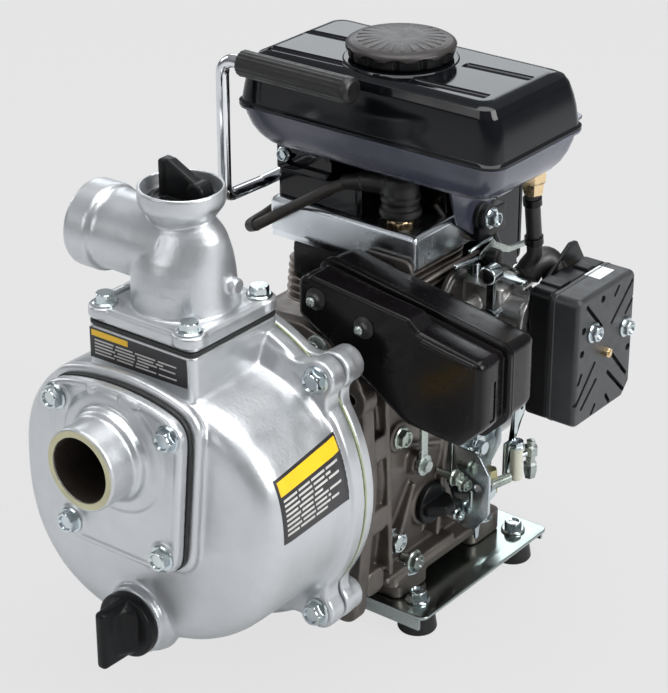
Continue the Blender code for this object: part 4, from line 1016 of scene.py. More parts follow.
label("barrel_label", [(24.6, 55.0, 0), (28.4, 111.2, 0), (4.2, 111.2, 0), (2.2, 55.0, 0)],
      barrel_wrap, (0.03, 0.97, 0.05, 0.27),
      [(0.33 + 0.075 * k, 0.365 + 0.075 * k) for k in range(8)])
label("neck_label", [(-35.9, 50, 55.4), (33.4, 50, 55.4), (33.4, 50, 38.6), (-35.9, 50, 37.4)],
      front_wrap, (0.02, 0.40, 0.06, 0.26),
      [(0.36 + 0.11 * k, 0.41 + 0.11 * k) for k in range(5)])

# ============================================================ crankcase cover
RIGHT_EYE, LEFT_EYE = (66.5, 0, 1.5), (-66.5, 0, 1.5)
cover = slab([(-74, 20), (74, 20), (78, -60), (70, -147.5), (-70, -147.5), (-78, -60)],
             [16, 16, 20, 10, 10, 20], 150, 160.5, edge=1.4)
steps = add(slab([(-40, 0), (48, 0), (56, 31), (30, 38), (-30, 34)], [6, 8, 10, 8, 8],
                 150.2, 160.3, edge=1.2),
            turned([(148.9, 0), (148.9, 10.5), (160, 11.5), (160, 0)], "y", RIGHT_EYE, 40, r=0.8),
            turned([(149.2, 0), (149.2, 9.5), (160, 10.5), (160, 0)], "y", LEFT_EYE, 40, r=0.8))
steps += cut(cyl(3.4, 140, 156, "y", RIGHT_EYE, 24), cyl(14.5, 140, 170, "y", SHAFT, 48))
for sx in (-1, 1):
    foot = (sx * 61, 0, -132)
    steps += add(turned([(148.9, 0), (148.9, 8.5), (159, 9.5), (159, 0)], "y", foot, 36, r=0.8))
    steps += cut(cyl(3.4, 140, 170, "y", LEFT_EYE, 20), cyl(3.4, 140, 170, "y", foot, 20))
cast(combine(cover, steps), "crankcase_cover_skin", "casting", "crankcase_cover",
     voxel=0.9, iters=4)
for letter, at, height in (("a", (43.2, 150.2, 28.0), 6.4), ("b", (-61, 148.9, -132), 6.0),
                           ("c", (61, 148.9, -132), 6.0)):
    bolt("cover_screw_" + letter, at, FRONT, 9.6, height, 7.0, 8, 3, mat="dullzinc")

# ============================================================ crankcase
CASE = [(-66, -2), (66, -2), (70, -60), (60, -138), (-60, -138), (-70, -60)]
CASE_RADII = [12, 12, 26, 12, 12, 26]


def slanted(degrees, pivot, *extents):
    """A thin rib on the right side wall, turned about X."""
    return turn(block(*extents, 1.2, "x"), math.radians(degrees), "X", pivot)


steps = add(
    block(-72, 72, 190, 222, -148.6, -136, 5), block(-72, 72, 268, 300, -148.6, -136, 5),
    turned([(50, 0), (50, 17.5), (66.4, 15.4), (67.4, 14.4), (67.4, 0)], "x", OIL, 64, r=1),
    turned([(58, 0), (58, 9), (75.8, 6.6), (75.8, 0)], "x", (0, 205, -60), 40, r=1),
    # joint bead with its bolt pads beside the cover, and ribs on the right side wall
    slab([(x * 1.02, z) for x, z in CASE], CASE_RADII, 160.9, 170.5, edge=1.2, seg=10),
    block(60, 73.2, 160.9, 178, -44, -28, 5, "x"), block(58, 72.4, 160.9, 178, -92, -76, 5, "x"),
    block(54, 70.6, 160.9, 178, -134, -118, 5, "x"),
    slanted(3, (70, 178, -60), 62, 73.4, 176.5, 180.2, -126, -4),
    slanted(-7, (70, 238, -60), 62, 72.6, 236, 239.5, -122, -20),
    slanted(52, (70, 240, -118), 60, 72.2, 243, 247, -134, -104),
    slanted(-24, (70, 200, -92), 62, 72.4, 196, 200, -112, -74),
    block(60, 71.0, 180, 250, -133.5, -129.5, 1.2, "x"),
    slanted(-20, (70, 210, -50), 62, 73, 190, 232, -52, -48.5),
    turned([(50, 0), (50, 11), (71.6, 9.4), (71.6, 0)], "x", (0, 191, -38), 40, r=1),
    turned([(50, 0), (50, 22), (71.4, 20), (71.4, 0)], "x", (0, 262, -50), 64, r=1))
steps += cut(turned([(64, 0), (64, 13), (74, 14.6), (74, 0)], "x", (0, 262, -50), 64, r=1))
steps += add(block(-72, 72, 186, 300, -140, -134, 5))
steps += cut(
    box(-54, 54, 150, 290, -128, -10), cyl(14.3, 280, 310, "y", SHAFT, 48),
    cyl(11, 40, 80, "x", OIL, 40), turn(cyl(36.8, -5, 70, "z", CRANK, 64), CYL_TILT, "Y", CRANK),
    *[cyl(4, -160, -130, "z", (x, y, 0), 20) for x, y in ENGINE_BOLTS])
# its colour is the casting's own dark tone deepened with painted shade
cast(combine(slab(CASE, CASE_RADII, 160.9, 300, edge=1.2, seg=10), steps), "crankcase_skin",
     "casting", "crankcase", voxel=0.95, iters=4)
bolt("block_screw_0", (71.6, 191, -38), RIGHT, 9.6, 5.0, 7.2, 9, 3, mat="dullzinc")
for i, (x, y) in enumerate(ENGINE_BOLTS):
    bolt("engine_screw_%d" % (i + 1), (x, y, -135.9), UP, 11.4, 7.0, 8.6, 17, 3.4, spin=i)

# ============================================================ cylinder and head
# both are modelled upright over the crankshaft, then tilted
steps = []
for k in range(10):
    low = 55.6 + 4.75 * k
    half = 38.6 if low < 80 else 35.2
    steps += add(slab(oblong(-37, 46, -half, half), 10, low, low + 1.9, "z", CRANK,
                      edge=0.8, seg=6))
steps += add(slab(oblong(-37, 45, -35.5, 35.5), 8, 101, 104.4, "z", CRANK, edge=0.5))
steps += cut(cyl(BORE_R, 20, 110, "z", CRANK, 72))
barrel = lathe([(30, 0), (30, 34.3), (46, 34.3), (46.5, 36), (104.5, 36), (104.5, 0)],
               "z", CRANK, 96)
cast(turn(combine(barrel, steps), CYL_TILT, "Y", CRANK), "cylinder_skin", "fin", "cylinder",
     voxel=0.75, iters=2)

steps = add(slab(oblong(-30, 30, -30, 30), 9, 108, 112.8, "z", CRANK, edge=0.8))
for k in range(7):
    steps += add(slab(oblong(-36, 44, -33 + 10.4 * k, -30.6 + 10.4 * k), 1, 107.5, 112.9, "z",
                      CRANK, edge=0.5))
steps += cut(turn(cyl(5.8, 40, 130, "z", (PLUG_X, PLUG_Y, 0), 32), -CYL_TILT, "Y", CRANK))
head = slab(oblong(-37, 45, -35.5, 35.5), 9, 104.9, 108.4, "z", CRANK, edge=0.6)
cast(turn(combine(head, steps), CYL_TILT, "Y", CRANK), "cylinder_head_skin", "fin",
     "cylinder_head", voxel=0.75, iters=2)

# square plate between cylinder and silencer
piece(slab(oblong(32, 68, 30, 66), 6, 203.6, 206.4, edge=0.5), "exhaust_plate", "casting")

# ============================================================ sheet metal round the cylinder
SHROUD_X0, SHROUD_X1, SHROUD_Y0, SHROUD_Y1 = -38.0, 67.0, 208.0, 291.0
# (z, inset)
SHROUD = [(59.5, 0), (76.6, 0), (78.2, 0.5), (79.4, 1.6), (80, 3.2)]
shroud = loft([lay(rect(SHROUD_X0 + inset, SHROUD_X1 - inset, SHROUD_Y0 + inset,
                        SHROUD_Y1 - inset, max(2.6 - inset * 0.4, 1.0), 6), "z", z)
               for z, inset in SHROUD])
steps = cut(box(SHROUD_X0 + 1.2, SHROUD_X1 - 1.2, SHROUD_Y0 + 1.2, SHROUD_Y1 + 5, 50, 78.6),
            cyl(13.0, 70, 90, "z", (PLUG_X, PLUG_Y, 0), 64),
            box(SHROUD_X1 - 1.0, SHROUD_X1 + 1, SHROUD_Y0 + 1.4, SHROUD_Y0 + 4.0, 50, 75.5))
crisp(combine(shroud, steps), "shroud_skin", "sheet", "cooling_shroud", bevel=0.45, seg=2)
# dark strip in the slit at the front-right fold: painted shade in the channel
piece(block(SHROUD_X1 - 1.9, SHROUD_X1 - 1.25, SHROUD_Y0 + 1.3, SHROUD_Y0 + 4.1, 59.6, 75.4,
            0.2, edge=0.08), "shroud_slit_shade", "heat_black")
# black heat shield between the silencer and the cylinder
shield = slab([(-16, 36), (-16, 58.6), (67, 58.6), (67, 30), (20, 30)], [3, 2, 2, 3, 6],
              203.05, 203.55, edge=0.12, seg=6)
piece(combine(shield, cut(cyl(15.4, 195, 210, "y", (50, 0, 49), 64))), "heat_shield",
      "heat_black")
piece(block(-37.2, 40, 209.4, 211.0, 55.0, 60.4, 0.5, edge=0.3), "shroud_lip", "sheet")

# black blower cover over the shroud, stepped back round the plug
# (z, left x, right x before the step, front y)
HOOD = [(80.4, -36.6, 25, 213.0), (95.0, -36.4, 25, 213.0), (97.6, -35.6, 24.2, 213.8),
        (98.6, -33, 22, 215.5)]
hood = loft([lay(rounded([(x0, y0), (x1, y0), (x1, 240), (62, 246), (62, 286), (x0, 286)],
                         [4, 4, 3, 3, 4, 4], 5), "z", z) for z, x0, x1, y0 in HOOD])
steps = add(block(-36.2, 3, 211.6, 284, 97, 112.6, 2.5, edge=1.2))
steps += cut(block(-28, 3.5, 205, 214.2, 101, 109, 1.5, "y", edge=0.2))
crisp(combine(hood, steps), "blower_hood", "enamel", bevel=0.9, seg=3)
bolt("hood_screw", (-29.6, 211.7, 106.8), FRONT, 6.6, 3.4, 4.6, 4, 2)
piece(combine(slab(oblong(26, 62, 243, 285), 4, 97, 117.2, "z"),
              cut(cyl(30, 90, 130, "z", (20, 236, 0), 64))), "hood_rear", "enamel")

# ============================================================ spark plug, its cap and lead
PLUG = (PLUG_X, PLUG_Y, 0)
shell = turned([(63, 0), (63, 4.9), (69.5, 4.9), (69.5, 8), (72, 8), (72, 0)], "z", PLUG, 48,
               r=0.3)
hexagon_part = oriented(hex_head(14.5, 10.4, 9.2, 2.0), UP, (PLUG_X, PLUG_Y, 71.8))
piece(combine(shell, add(hexagon_part)), "plug_shell", "brass")
piece(turned([(81, 0), (81, 5.2), (98, 4.2), (104, 2.6), (104, 0)], "z", PLUG, 40),
      "plug_insulator", "ceramic", "spark_plug")
boot = turned([(84.4, 0), (84.4, 11.4), (86.0, 12.4), (89.4, 12.4), (90.4, 11.0), (93, 10.8),
               (94, 11.6), (97, 11.6), (98, 10.7), (103, 10.6), (107.4, 9.6), (109.6, 7.2),
               (109.8, 0)], "z", PLUG, 72, r=0.7)
nose = tube(spline([(PLUG_X, PLUG_Y, 102.0), (38, 220.4, 102.4), (31, 217.8, 102.6),
                    (25, 215.8, 102.2)]), lambda f: 7.6 - 1.6 * f, 40, cap=1.2)
sleeve = tube([(27, 216.4, 102.4), (13, 212.4, 99.6)], lambda f: 5.6 - 1.3 * f, 32, cap=0.6)
cast(combine(boot, add(nose, sleeve) + cut(cyl(8.9, 80, 89, "z", PLUG))), "plug_cap_skin",
     "rubber", "plug_cap", voxel=0.6, iters=3)
lead = bend([(20, 214.4, 101.6), (6, 208.5, 95), (-36, 194.4, 66.5), (-47.5, 198, 61.5),
             (-46, 214, 64), (-41, 226, 70)], 8)
piece(tube(lead, 3.3, 24), "plug_lead", "lead")
piece(tube([(-37, 194.6, 66.4), (-43, 196.2, 63.6)], 4.0, 24), "lead_grommet", "rubber")

# ============================================================ silencer
SILENCER = [(26, 42.6), (26, 72.6), (156, 51.0), (156, 8), (140, -8), (102, -4.6)]
SILENCER_RADII = [7, 9, 8, 10, 8, 10]
SILENCER_SCREWS = [(41.6, 56.6), (74.8, 48.8)]
# (y, growth of the outline)
SILENCER_FRONT = [
    (150.0, -8.0), (150.05, -6.2), (150.4, -4.6), (151.3, -3.3), (153.0, -2.6), (156, -2.4),
    (163, -2.5), (168, -3.2), (171.2, -4.0), (172.4, -4.2), (172.9, -3.7), (173.15, -2.0),
    (173.4, -0.7), (173.9, 0.0), (175.7, 0.0), (176.0, -0.4)]
SILENCER_REAR = [
    (176.2, -0.4), (176.5, 0.0), (177.4, 0.0), (177.9, -0.2), (178.4, -0.9), (179.2, -1.4),
    (190, -1.7), (196, -2.2), (199.6, -3.2), (201.6, -4.9), (202.7, -7.2), (203, -10)]


def silencer_half(stations):
    return loft([lay(grown(SILENCER, SILENCER_RADII, growth, 10), "y", y)
                 for y, growth in stations])


# a raised bead beside the sloping top edge; left of it the front stands higher, up to a short step
steps = add(tube([(114, 150.7, 51.6), (130.5, 150.2, 49.0), (147, 150.7, 46.4)], 2.3, 24,
                 cap=0.9),
            slab([(34, 56), (34, 70.2), (104, 62.2), (111, 56.4), (111, 50)], [3, 5, 4, 2, 1],
                 150.06, 167, edge=2.4, eseg=4))
steps += cut(slab(oblong(152.0, 160, 158.8, 163.8), [0.5, 1.5, 1.5, 0.5], 11, 35, "z",
                  edge=0.3),
             *[lathe([(149, 0), (149, 7.5), (150.6, 6.8), (151.8, 0)], "y", (x, 0, z), 48)
               for x, z in SILENCER_SCREWS])
crisp(combine(silencer_half(SILENCER_FRONT), steps), "muffler_front_skin", "heat_black",
      "muffler_front", bevel=0.35, seg=2, angle=32)
# a dark strip at the back of the slot: painted shade in the recess
piece(block(151.6, 152.4, 158.9, 163.7, 11.4, 34.6, 0.2, edge=0.05), "muffler_slot_shade", "foam")
crisp(combine(silencer_half(SILENCER_REAR), add(cyl(15, 200, 205.8, "y", (50, 0, 49), 64))),
      "muffler_rear_skin", "heat_black", "muffler_rear", bevel=0.35, seg=2)
for i, (x, z) in enumerate(SILENCER_SCREWS):
    piece(turned([(146.4, 2.4), (146.4, 3.4), (148.6, 4.0), (149.6, 6.6), (151.4, 6.8),
                  (151.4, 2.4)], "y", (x, 0, z), 48, r=0.2), "muffler_washer_%d" % i, "rubber")
    piece(turned([(143.4, 0), (143.5, 1.2), (143.9, 2.1), (144.7, 2.7), (146.2, 2.9),
                  (146.3, 0)], "y", (x, 0, z), 48, r=0.3), "muffler_screw_%d" % i, "dullzinc")

# ============================================================ carburettor
throat = turned([(58, 0), (58, 17), (62, 17), (62, 13.5), (112, 13.5), (112, 16), (115.6, 16),
                 (115.6, 0)], "x", CARB, 72)
steps = add(
    block(71, 99, 249, 277, 12, 41.4, 4),
    turned([(-16, 0), (-16, 11), (-14.6, 14.6), (-11.5, 17), (9, 17.2), (12, 18.6), (15, 18.6),
            (16, 16), (16, 0)], "z", (85, 262, 0), 72, r=0.8),
    turned([(-20, 0), (-20, 3.4), (-15, 4.0), (-15, 0)], "z", (85, 262, 0), 32),
    block(60, 78, 250, 300, 18, 30, 3), block(99, 114, 246, 284, 8, 12, 2),
    cyl(5.2, 276, 288, "y", (94, 0, 36), 36), cyl(4.2, 238, 250, "y", (82, 0, 30), 36),
    block(62, 72, 246, 280, 6, 14, 3))
cast(combine(throat, steps + cut(cyl(9, 50, 120, "x", CARB))), "carburettor_skin", "alloy",
     "carburettor", voxel=0.65, iters=3)

steps = add(block(97.4, 102.6, 236, 238.4, 30, 55, 2, "y", 0.3),
            turned([(232, 0), (232, 5.5), (242, 5.5), (242, 0)], "y", (100, 0, 57), 36, r=1.2),
            cyl(2, 238, 248, "y", (100, 0, 30), 24))
piece(combine(cyl(5, 235.5, 239, "y", (100, 0, 30), 36), steps), "choke_lever_skin", "zinc",
      "choke_lever", "choke_lever")
steps = add(slab(oblong(64, 108, 258.8, 265.2), 3, 42.9, 45.3, "z", edge=0.4),
            turned([(45, 0), (45, 3.4), (47.6, 3.4), (47.6, 0)], "z", (85, 262, 0), 6, r=0.3))
piece(combine(cyl(5, 42.8, 45.4, "z", (85, 262, 0), 36), steps), "throttle_lever_skin", "zinc",
      "throttle_lever", "throttle_lever")

# ============================================================ air filter
FILTER_Y0, FILTER_Y1, FILTER_Z0, FILTER_Z1 = 252.0, 314.0, -34.0, 47.0
FILTER = [(FILTER_Y0, FILTER_Z0), (FILTER_Y1 - 8, FILTER_Z0), (FILTER_Y1, FILTER_Z0 + 8),
          (FILTER_Y1, FILTER_Z1), (FILTER_Y0, FILTER_Z1)]
FILTER_RADII = [5, 3, 3, 5, 5]
inner_wall = grown(FILTER, FILTER_RADII, -2.2)
steps = cut(prism(inner_wall, 118.4, 140, "x"), cyl(10, 110, 125, "x", CARB))
steps += add(block(116.6, 130.4, 262, 274, 45.6, 48.2, 1.5, "x"),
             block(120, 130.4, 292, 300, 45.6, 48.6, 1.5, "x"))
crisp(combine(slab(FILTER, FILTER_RADII, 116, 130.6, "x", edge=1.6), steps),
      "filter_case_skin", "plastic", "air_filter_case", bevel=0.3, seg=2)

# (x, growth of the outline)
LID = [(130.7, -0.6), (130.9, 0), (133.4, 0.35), (134.0, 0.0), (147.0, 0), (148.6, -0.45),
       (149.6, -1.4), (150.0, -2.6)]
# slots in the lid's face: (y, z, degrees, length)
SLOT_TABLE = [
    (299.5, 31, 42, 31), (308.2, 25.5, 44, 13), (293, 40, 48, 8), (269.5, 32, -47, 27),
    (262.8, -8.5, 48, 30), (267, -16.5, 42, 22), (256.5, -3, 60, 8), (272.8, -28.6, 52, 8),
    (300, -9.5, -48, 27), (297, -19.5, -45, 30), (288.6, -27.6, -55, 9)]
LID_HOLES = [(278, 40.2), (257.6, 12.9), (309.2, -2), (258.4, 27.2)]
steps = cut(prism(inner_wall, 125, 147.0, "x"))
for y, z, degrees, length in SLOT_TABLE:
    slot = slab(oblong(-length / 2, length / 2, -1.25, 1.25), 1.2, 140, 152, "x", (0, y, z),
                edge=0.05, seg=4)
    steps += cut(turn(slot, math.radians(degrees), "X", (0, y, z)))
steps += cut(*[cyl(2.3, 140, 152, "x", (0, y, z), 24) for y, z in LID_HOLES])
lid = loft([lay(grown(FILTER, FILTER_RADII, growth), "x", x) for x, growth in LID])
crisp(combine(lid, steps), "filter_lid_skin", "filterplastic", "air_filter_cover",
      bevel=0.25, seg=2)
piece(slab([(FILTER_Y0 + 3.2, FILTER_Z0 + 3.2), (FILTER_Y1 - 10, FILTER_Z0 + 3.2),
            (FILTER_Y1 - 3.2, FILTER_Z0 + 10), (FILTER_Y1 - 3.2, FILTER_Z1 - 3.2),
            (FILTER_Y0 + 3.2, FILTER_Z1 - 3.2)], 4, 120, 145.4, "x", edge=1.5),
      "filter_foam_skin", "foam", "air_filter_element")
bolt("filter_screw_a", (150.0, 268.5, 22.8), RIGHT, 8.6, 4.6, 6.2, 12, 2.4, spin=0.3)
bolt("filter_screw_b", (150.0, 304.6, 12.9), RIGHT, 8.6, 4.6, 6.2, 12, 2.4, spin=0.1)
piece(combine(oriented(hex_head(5.4, 4.0), RIGHT, (149.9, 282.4, 5.3)),
              add(cyl(1.5, 149, 154.4, "x", (0, 282.4, 5.3), 20))), "filter_brass_nut", "brass")
piece(block(131, 141.5, 287, 303.5, 46.9, 47.25, 0.6, edge=0.1), "filter_plain_label",
      "whiteprint")
# bracket on the filter's inner side, and the black breather elbow beside it
bracket = slab([(262, 36), (300, 58), (307, 57), (322, 34), (318, 20), (262, 20)],
               [3, 4, 3, 4, 3, 3], 111.4, 113.6, "x", edge=0.4)
piece(combine(bracket, cut(cyl(12, 100, 120, "x", CARB, 40))), "filter_bracket", "plastic")
piece(tube(spline([(111, 291, 30), (108, 291, 43), (104.5, 288, 49), (101, 281, 48),
                   (99, 276, 42)]), 8.0, 32, cap=1.5), "breather_elbow", "rubber")
piece(turned([(103, 0), (103, 3.6), (105, 4.6), (108, 4.0), (111.3, 4.6), (111.3, 0)], "x",
             (0, 302, 36), 32), "bracket_brass", "brass")
bolt("bracket_nut", (113.6, 310, 38), RIGHT, 7, 3.2, 0, mat="brass")


# ============================================================ fuel tank
def tank_loop(left, right, front, back, radius, z):
    """The tank's outline at height z, drawn in by an inset on each side."""
    return lay(rect(TANK_X0 + left, TANK_X1 - right, TANK_Y0 + front, TANK_Y1 - back, radius),
               "z", z)


def seam_lip(stations):
    """The folded lip round the seam, from (height above the seam, inset) stations."""
    return loft([tank_loop(*[inset - 1.6] * 4, 11, SEAM_Z + rise) for rise, inset in stations])


# insets left, right, front and back, corner radius, z
TANK_TOP = [
    (0.6, 0.6, 0.6, 0.6, 10, SEAM_Z + 0.7), (0, 0, 0, 0, 10, 147), (0.4, 0.3, 0.1, 0.3, 10, 150),
    (2, 1, 0.5, 1.5, 10, 158), (4.6, 2.2, 0.9, 2.9, 10, 164.5), (7.6, 3.8, 1.5, 4.8, 9.5, 170.4),
    (8.4, 4.4, 1.8, 5.4, 9.2, 171.8), (11.0, 6.2, 3.2, 7.8, 8.4, 175.2),
    (14.6, 9.6, 6.4, 11.4, 7.4, 177.1), (17.6, 13.0, 9.2, 14.6, 6.6, 177.9),
    (19.0, 14.4, 10.6, 16.0, 6.2, 178.0)]
TANK_BOTTOM = [
    (22, 20, 18, 18, 12, 118), (16, 14.5, 13, 13, 13, 119.4), (9.5, 8.5, 7.6, 7.6, 14, 122.8),
    (5.8, 5.2, 4.6, 4.6, 13.5, 127), (3.2, 3.0, 2.6, 2.6, 12.5, 132),
    (1.4, 1.4, 1.2, 1.2, 11.5, 138), (0.8, 0.8, 0.6, 0.6, 10.5, 142.3)]
# long shallow grooves in the top: x and y of one end, then of the other
GROOVES = [(-24, 192.6, 118, 199.4), (80, 234.6, 121, 237.2), (-28, 227.2, 11, 229.8)]
steps = add(seam_lip([(-1.0, 0.5), (-0.8, 0.0), (0.4, 0.0), (1.2, 0.8), (2.2, 2.4), (3.4, 3.2)]))
for x0, y0, x1, y1 in GROOVES:
    path = [(x0, y0, 181.5), ((x0 + x1) / 2, (y0 + y1) / 2, 181.5), (x1, y1, 181.5)]
    steps += cut(tube(path, 5.3, 40, cap=0.9))
# the cap's raised seat
steps += add(turned([(170, 0), (170, 33.4), (177.4, 33.4), (178.6, 31.6), (178.6, 0)], "z", CAP,
                    96, r=0.8))
steps += cut(cyl(20, 165, 190, "z", CAP, 64))
crisp(combine(loft([tank_loop(*row) for row in TANK_TOP]), steps), "tank_top_skin", "enamel",
      "fuel_tank_upper", bevel=0.8, seg=3, angle=24)

steps = add(seam_lip([(-3.4, 1.6), (-2.9, 0.3), (-1.5, 0.0), (-1.1, 0.4)]),
            slab([(108, 262), (129, 262), (126, 286), (119, 288.4), (112, 285)], [2, 2, 5, 5, 4],
                 SEAM_Z - 2.9, SEAM_Z - 1.3, "z", edge=0.4))
steps += cut(cyl(5.4, 105, 125, "z", (113, 256.4, 0), 32),
             cyl(2.6, 130, 150, "z", (119, 280, 0), 24))
# the lower shell's blue-grey colour is a painted reflection on black enamel
crisp(combine(loft([tank_loop(*row) for row in TANK_BOTTOM]), steps), "tank_bottom_skin",
      "enamel_blue", "fuel_tank_lower", bevel=0.6, seg=3, angle=26)


# ============================================================ fuel cap
def fluted(angle, z, radius):
    """Twelve broad grips round the cap's collar."""
    return radius - 1.3 * max(0.0, 1 - (abs(math.sin(6 * angle)) / 0.40) ** 2)


collar = lathe([(179.0, 0), (179.0, 27.6), (179.3, 28.6), (180.2, 29.4), (183.0, 29.6),
                (187.0, 29.3), (187.0, 0)], "z", CAP, 240, fluted)
stem = turned([(170, 0), (170, 15), (180.5, 15), (180.5, 0)], "z", CAP, 64, r=0.5)
cast(combine(collar, add(stem)), "fuel_cap_collar", "plastic", body="fuel_cap",
     voxel=0.45, iters=2)
# (z, radius)
CROWN = [(187.1, 0), (187.1, 28.6), (186.9, 29.5), (184.2, 29.6), (184.0, 30.0), (184.2, 30.6),
         (185.0, 30.9), (186.6, 30.9), (187.7, 30.2), (188.6, 28.6), (189.4, 25.8),
         (190.0, 21.5), (190.5, 16), (190.8, 10), (190.95, 4), (191.0, 0)]
steps = []
for k in range(12):
    scallop = cyl(9.0, CAP_X + 20, CAP_X + 36, "x", (0, CAP_Y, 177.4), 48)
    steps += cut(turn(scallop, 2 * math.pi * k / 12, "Z", CAP))
for k in range(24):
    t = 2 * math.pi * (k + 0.5) / 24
    path = [(CAP_X + r * math.cos(t), CAP_Y + r * math.sin(t), z)
            for r, z in ((6, 190.2), (15, 189.9), (24.0, 189.0))]
    steps += add(tube(path, lambda f: 0.5 + 0.75 * f, 10, cap=0.4))
cast(combine(lathe(CROWN, "z", CAP, 240), steps), "fuel_cap_skin", "cap", "fuel_cap",
     "fuel_cap", voxel=0.40, iters=2)

# ============================================================ fuel hose and tank bracket
hose = bend([(113, 256.4, 121), (113, 256.6, 98), (113, 260, 77), (112, 263, 63),
             (105, 265, 54)], 10)
piece(tube(hose, 4.5, 28), "fuel_hose_skin", "rubber", "fuel_hose")
piece(turned([(103.0, 4.62), (103.0, 5.6), (105, 6.2), (110, 6.6), (111.4, 7.6), (117.0, 7.6),
              (118.0, 6.2), (121.0, 6.0), (121.0, 4.62)], "z", (113, 256.5, 0), 6, r=0.2),
      "fuel_outlet", "brass")
for k, (x, y, z) in enumerate(((113, 256.8, 98.6), (112.8, 260.4, 73.6))):
    clip = lathe([(z - 2.2, 4.6), (z - 2.2, 5.5), (z + 2.2, 5.5), (z + 2.2, 4.6)], "z",
                 (x, y, 0), 40)
    piece(turn(clip, math.radians(9), "X", (113, y, z)), "hose_clip_%d" % k, "heat_black")

# folded plate with a lobed ear on the right for the rubber-cushioned screw
steps = cut(box(-38.8, 68.3, 200, 290, 50, 115.2), box(60, 80, 200, 236, 50, 119),
            box(-60, -30, 262, 300, 50, 110), box(-60, -30, 200, 226, 50, 119),
            box(60, 80, 276.5, 300, 50, 119), box(60, 80, 230, 280, 50, 100))
folded = combine(box(-41, 70.5, 214, 284, 60, 117.4), steps)
lobe = slab([(236, 104), (258, 104), (277, 92), (281, 75), (274, 64.5), (262, 64.5), (246, 76)],
            [6, 8, 8, 8, 8, 8, 6], 68.3, 70.4, "x", edge=0.4)
# the bracket shares the lower shell's painted reflection colour
piece(combine(folded, add(lobe)), "tank_bracket_skin", "enamel_blue", "tank_bracket")
piece(turned([(70.5, 0), (70.5, 8.4), (73.4, 8.4), (73.9, 6.4), (74.9, 6.4), (75.4, 7.8),
              (77.6, 7.6), (77.6, 0)], "x", (0, 268.5, 75.2), 48, r=0.5),
      "bracket_grommet", "gasket")
bolt("bracket_screw", (77.7, 268.5, 75.2), RIGHT, 8.6, 5.4, 6.4, 6, 2.6)
# dark upright plate below the tank, inside the bracket's ear
piece(slab([(270, 118), (300, 112), (304, 96), (300, 78), (296, 56), (276, 56), (268, 84)],
           [3, 5, 8, 8, 4, 4, 6], 58.4, 60.2, "x", edge=0.5), "guard_plate", "plastic")

# oil plug
plug = turned([(58, 0), (58, 9.2), (67.8, 9.2), (67.8, 12.9), (68.8, 13.6), (71.2, 13.4),
               (71.8, 12.4), (71.8, 0)], "x", OIL, 72, r=0.5)
wing = slab([(70, 213.6), (75.5, 214.2), (84.0, 221.5), (84.0, 230.5), (75.5, 237.8),
             (70, 238.4)], [1, 3, 3, 3, 3, 1], -101.4, -94.6, "z", edge=1.8, seg=6)
cast(combine(plug, add(wing)), "oil_plug_skin", "plastic", "oil_plug", "oil_plug",
     voxel=0.5, iters=3)

# ============================================================ carry handle and grip
HANDLE_Y, HANDLE_Z = 168, 175.5
bar = bend([(-49, 268, 84), (-47, 210, 85), (-38, HANDLE_Y, 92), (-38, HANDLE_Y, HANDLE_Z),
            (50, HANDLE_Y, HANDLE_Z)], 10, 12)
piece(combine(tube(bar, 3.9, 36), add(block(-52.4, -41.6, 252, 268, 79.4, 88.6, 2))),
      "handle_bar_skin", "chrome", "carry_handle")


def ridged(angle, x, radius):
    """Fine lengthwise ridges, except at the grip's ends."""
    return radius + (0.22 * math.cos(18 * angle) if 6.8 < radius and -24 < x < 49 else 0.0)


GRIP_AXIS = (0, HANDLE_Y, HANDLE_Z)
# (x, radius)
GRIP = [(-24, 0), (-24, 6.2), (-23.4, 7.0), (-22.4, 7.5), (-21.6, 7.5)]
GRIP += [(-20.5 + 3.45 * k, 7.35) for k in range(20)]
GRIP += [(47, 7.5), (50.4, 7.7), (52.6, 7.4), (54, 5.6), (54, 0)]
cast(combine(lathe(GRIP, "x", GRIP_AXIS, 144, ridged), cut(cyl(4.3, -40, 50.3, "x", GRIP_AXIS,
                                                               36))),
     "handle_grip_skin", "rubber", "handle_grip", voxel=0.5, iters=1)

# ============================================================ governor arm and speed controls
arm_hub = turned([(76.4, 0), (76.4, 6.5), (79.4, 6.5), (79.4, 0)], "x", (0, 205, -60), 48, r=0.3)
steps = add(block(76.8, 79.0, 201.8, 208.2, -60, -18, 3, "x", 0.3),
            oriented(hex_head(7, 3.2), RIGHT, (79.2, 205, -60)))
piece(combine(arm_hub, steps), "governor_arm_skin", "dullzinc", "governor_arm", "governor_arm")

wall = slab([(242, -96), (284, -96), (296, -86), (296, -62), (288, -56), (242, -56)],
            [3, 5, 5, 6, 6, 3], 70.8, 73, "x", edge=0.35)
steps = add(slab([(72, -64), (92, -66), (100, -78), (100, -104), (90, -118), (80, -118),
                  (72, -96)], [1, 4, 6, 6, 5, 5, 3], 242.2, 244.2, edge=0.3))
steps += cut(cyl(3.2, 60, 80, "x", (0, 285, -66), 32), cyl(2.6, 230, 250, "y", (92, 0, -88), 32),
             slab(oblong(251, 262, -93, -88), 2.4, 60, 80, "x", edge=0.05))
piece(combine(wall, steps), "control_bracket_skin", "zinc", "control_bracket")

lever_hub = turned([(73.4, 0), (73.4, 7), (76, 7), (76, 0)], "x", (0, 268, -76), 48, r=0.3)
steps = add(block(73.6, 75.8, 264.6, 271.4, -76, -44, 3, "x", 0.3),
            turned([(73.4, 0), (73.4, 4.5), (92, 4.5), (92, 0)], "x", (0, 268, -46), 36, r=1.4),
            oriented(hex_head(8, 3.6), RIGHT, (75.8, 268, -76)))
piece(combine(lever_hub, steps), "speed_lever_skin", "zinc", "speed_lever", "speed_lever")

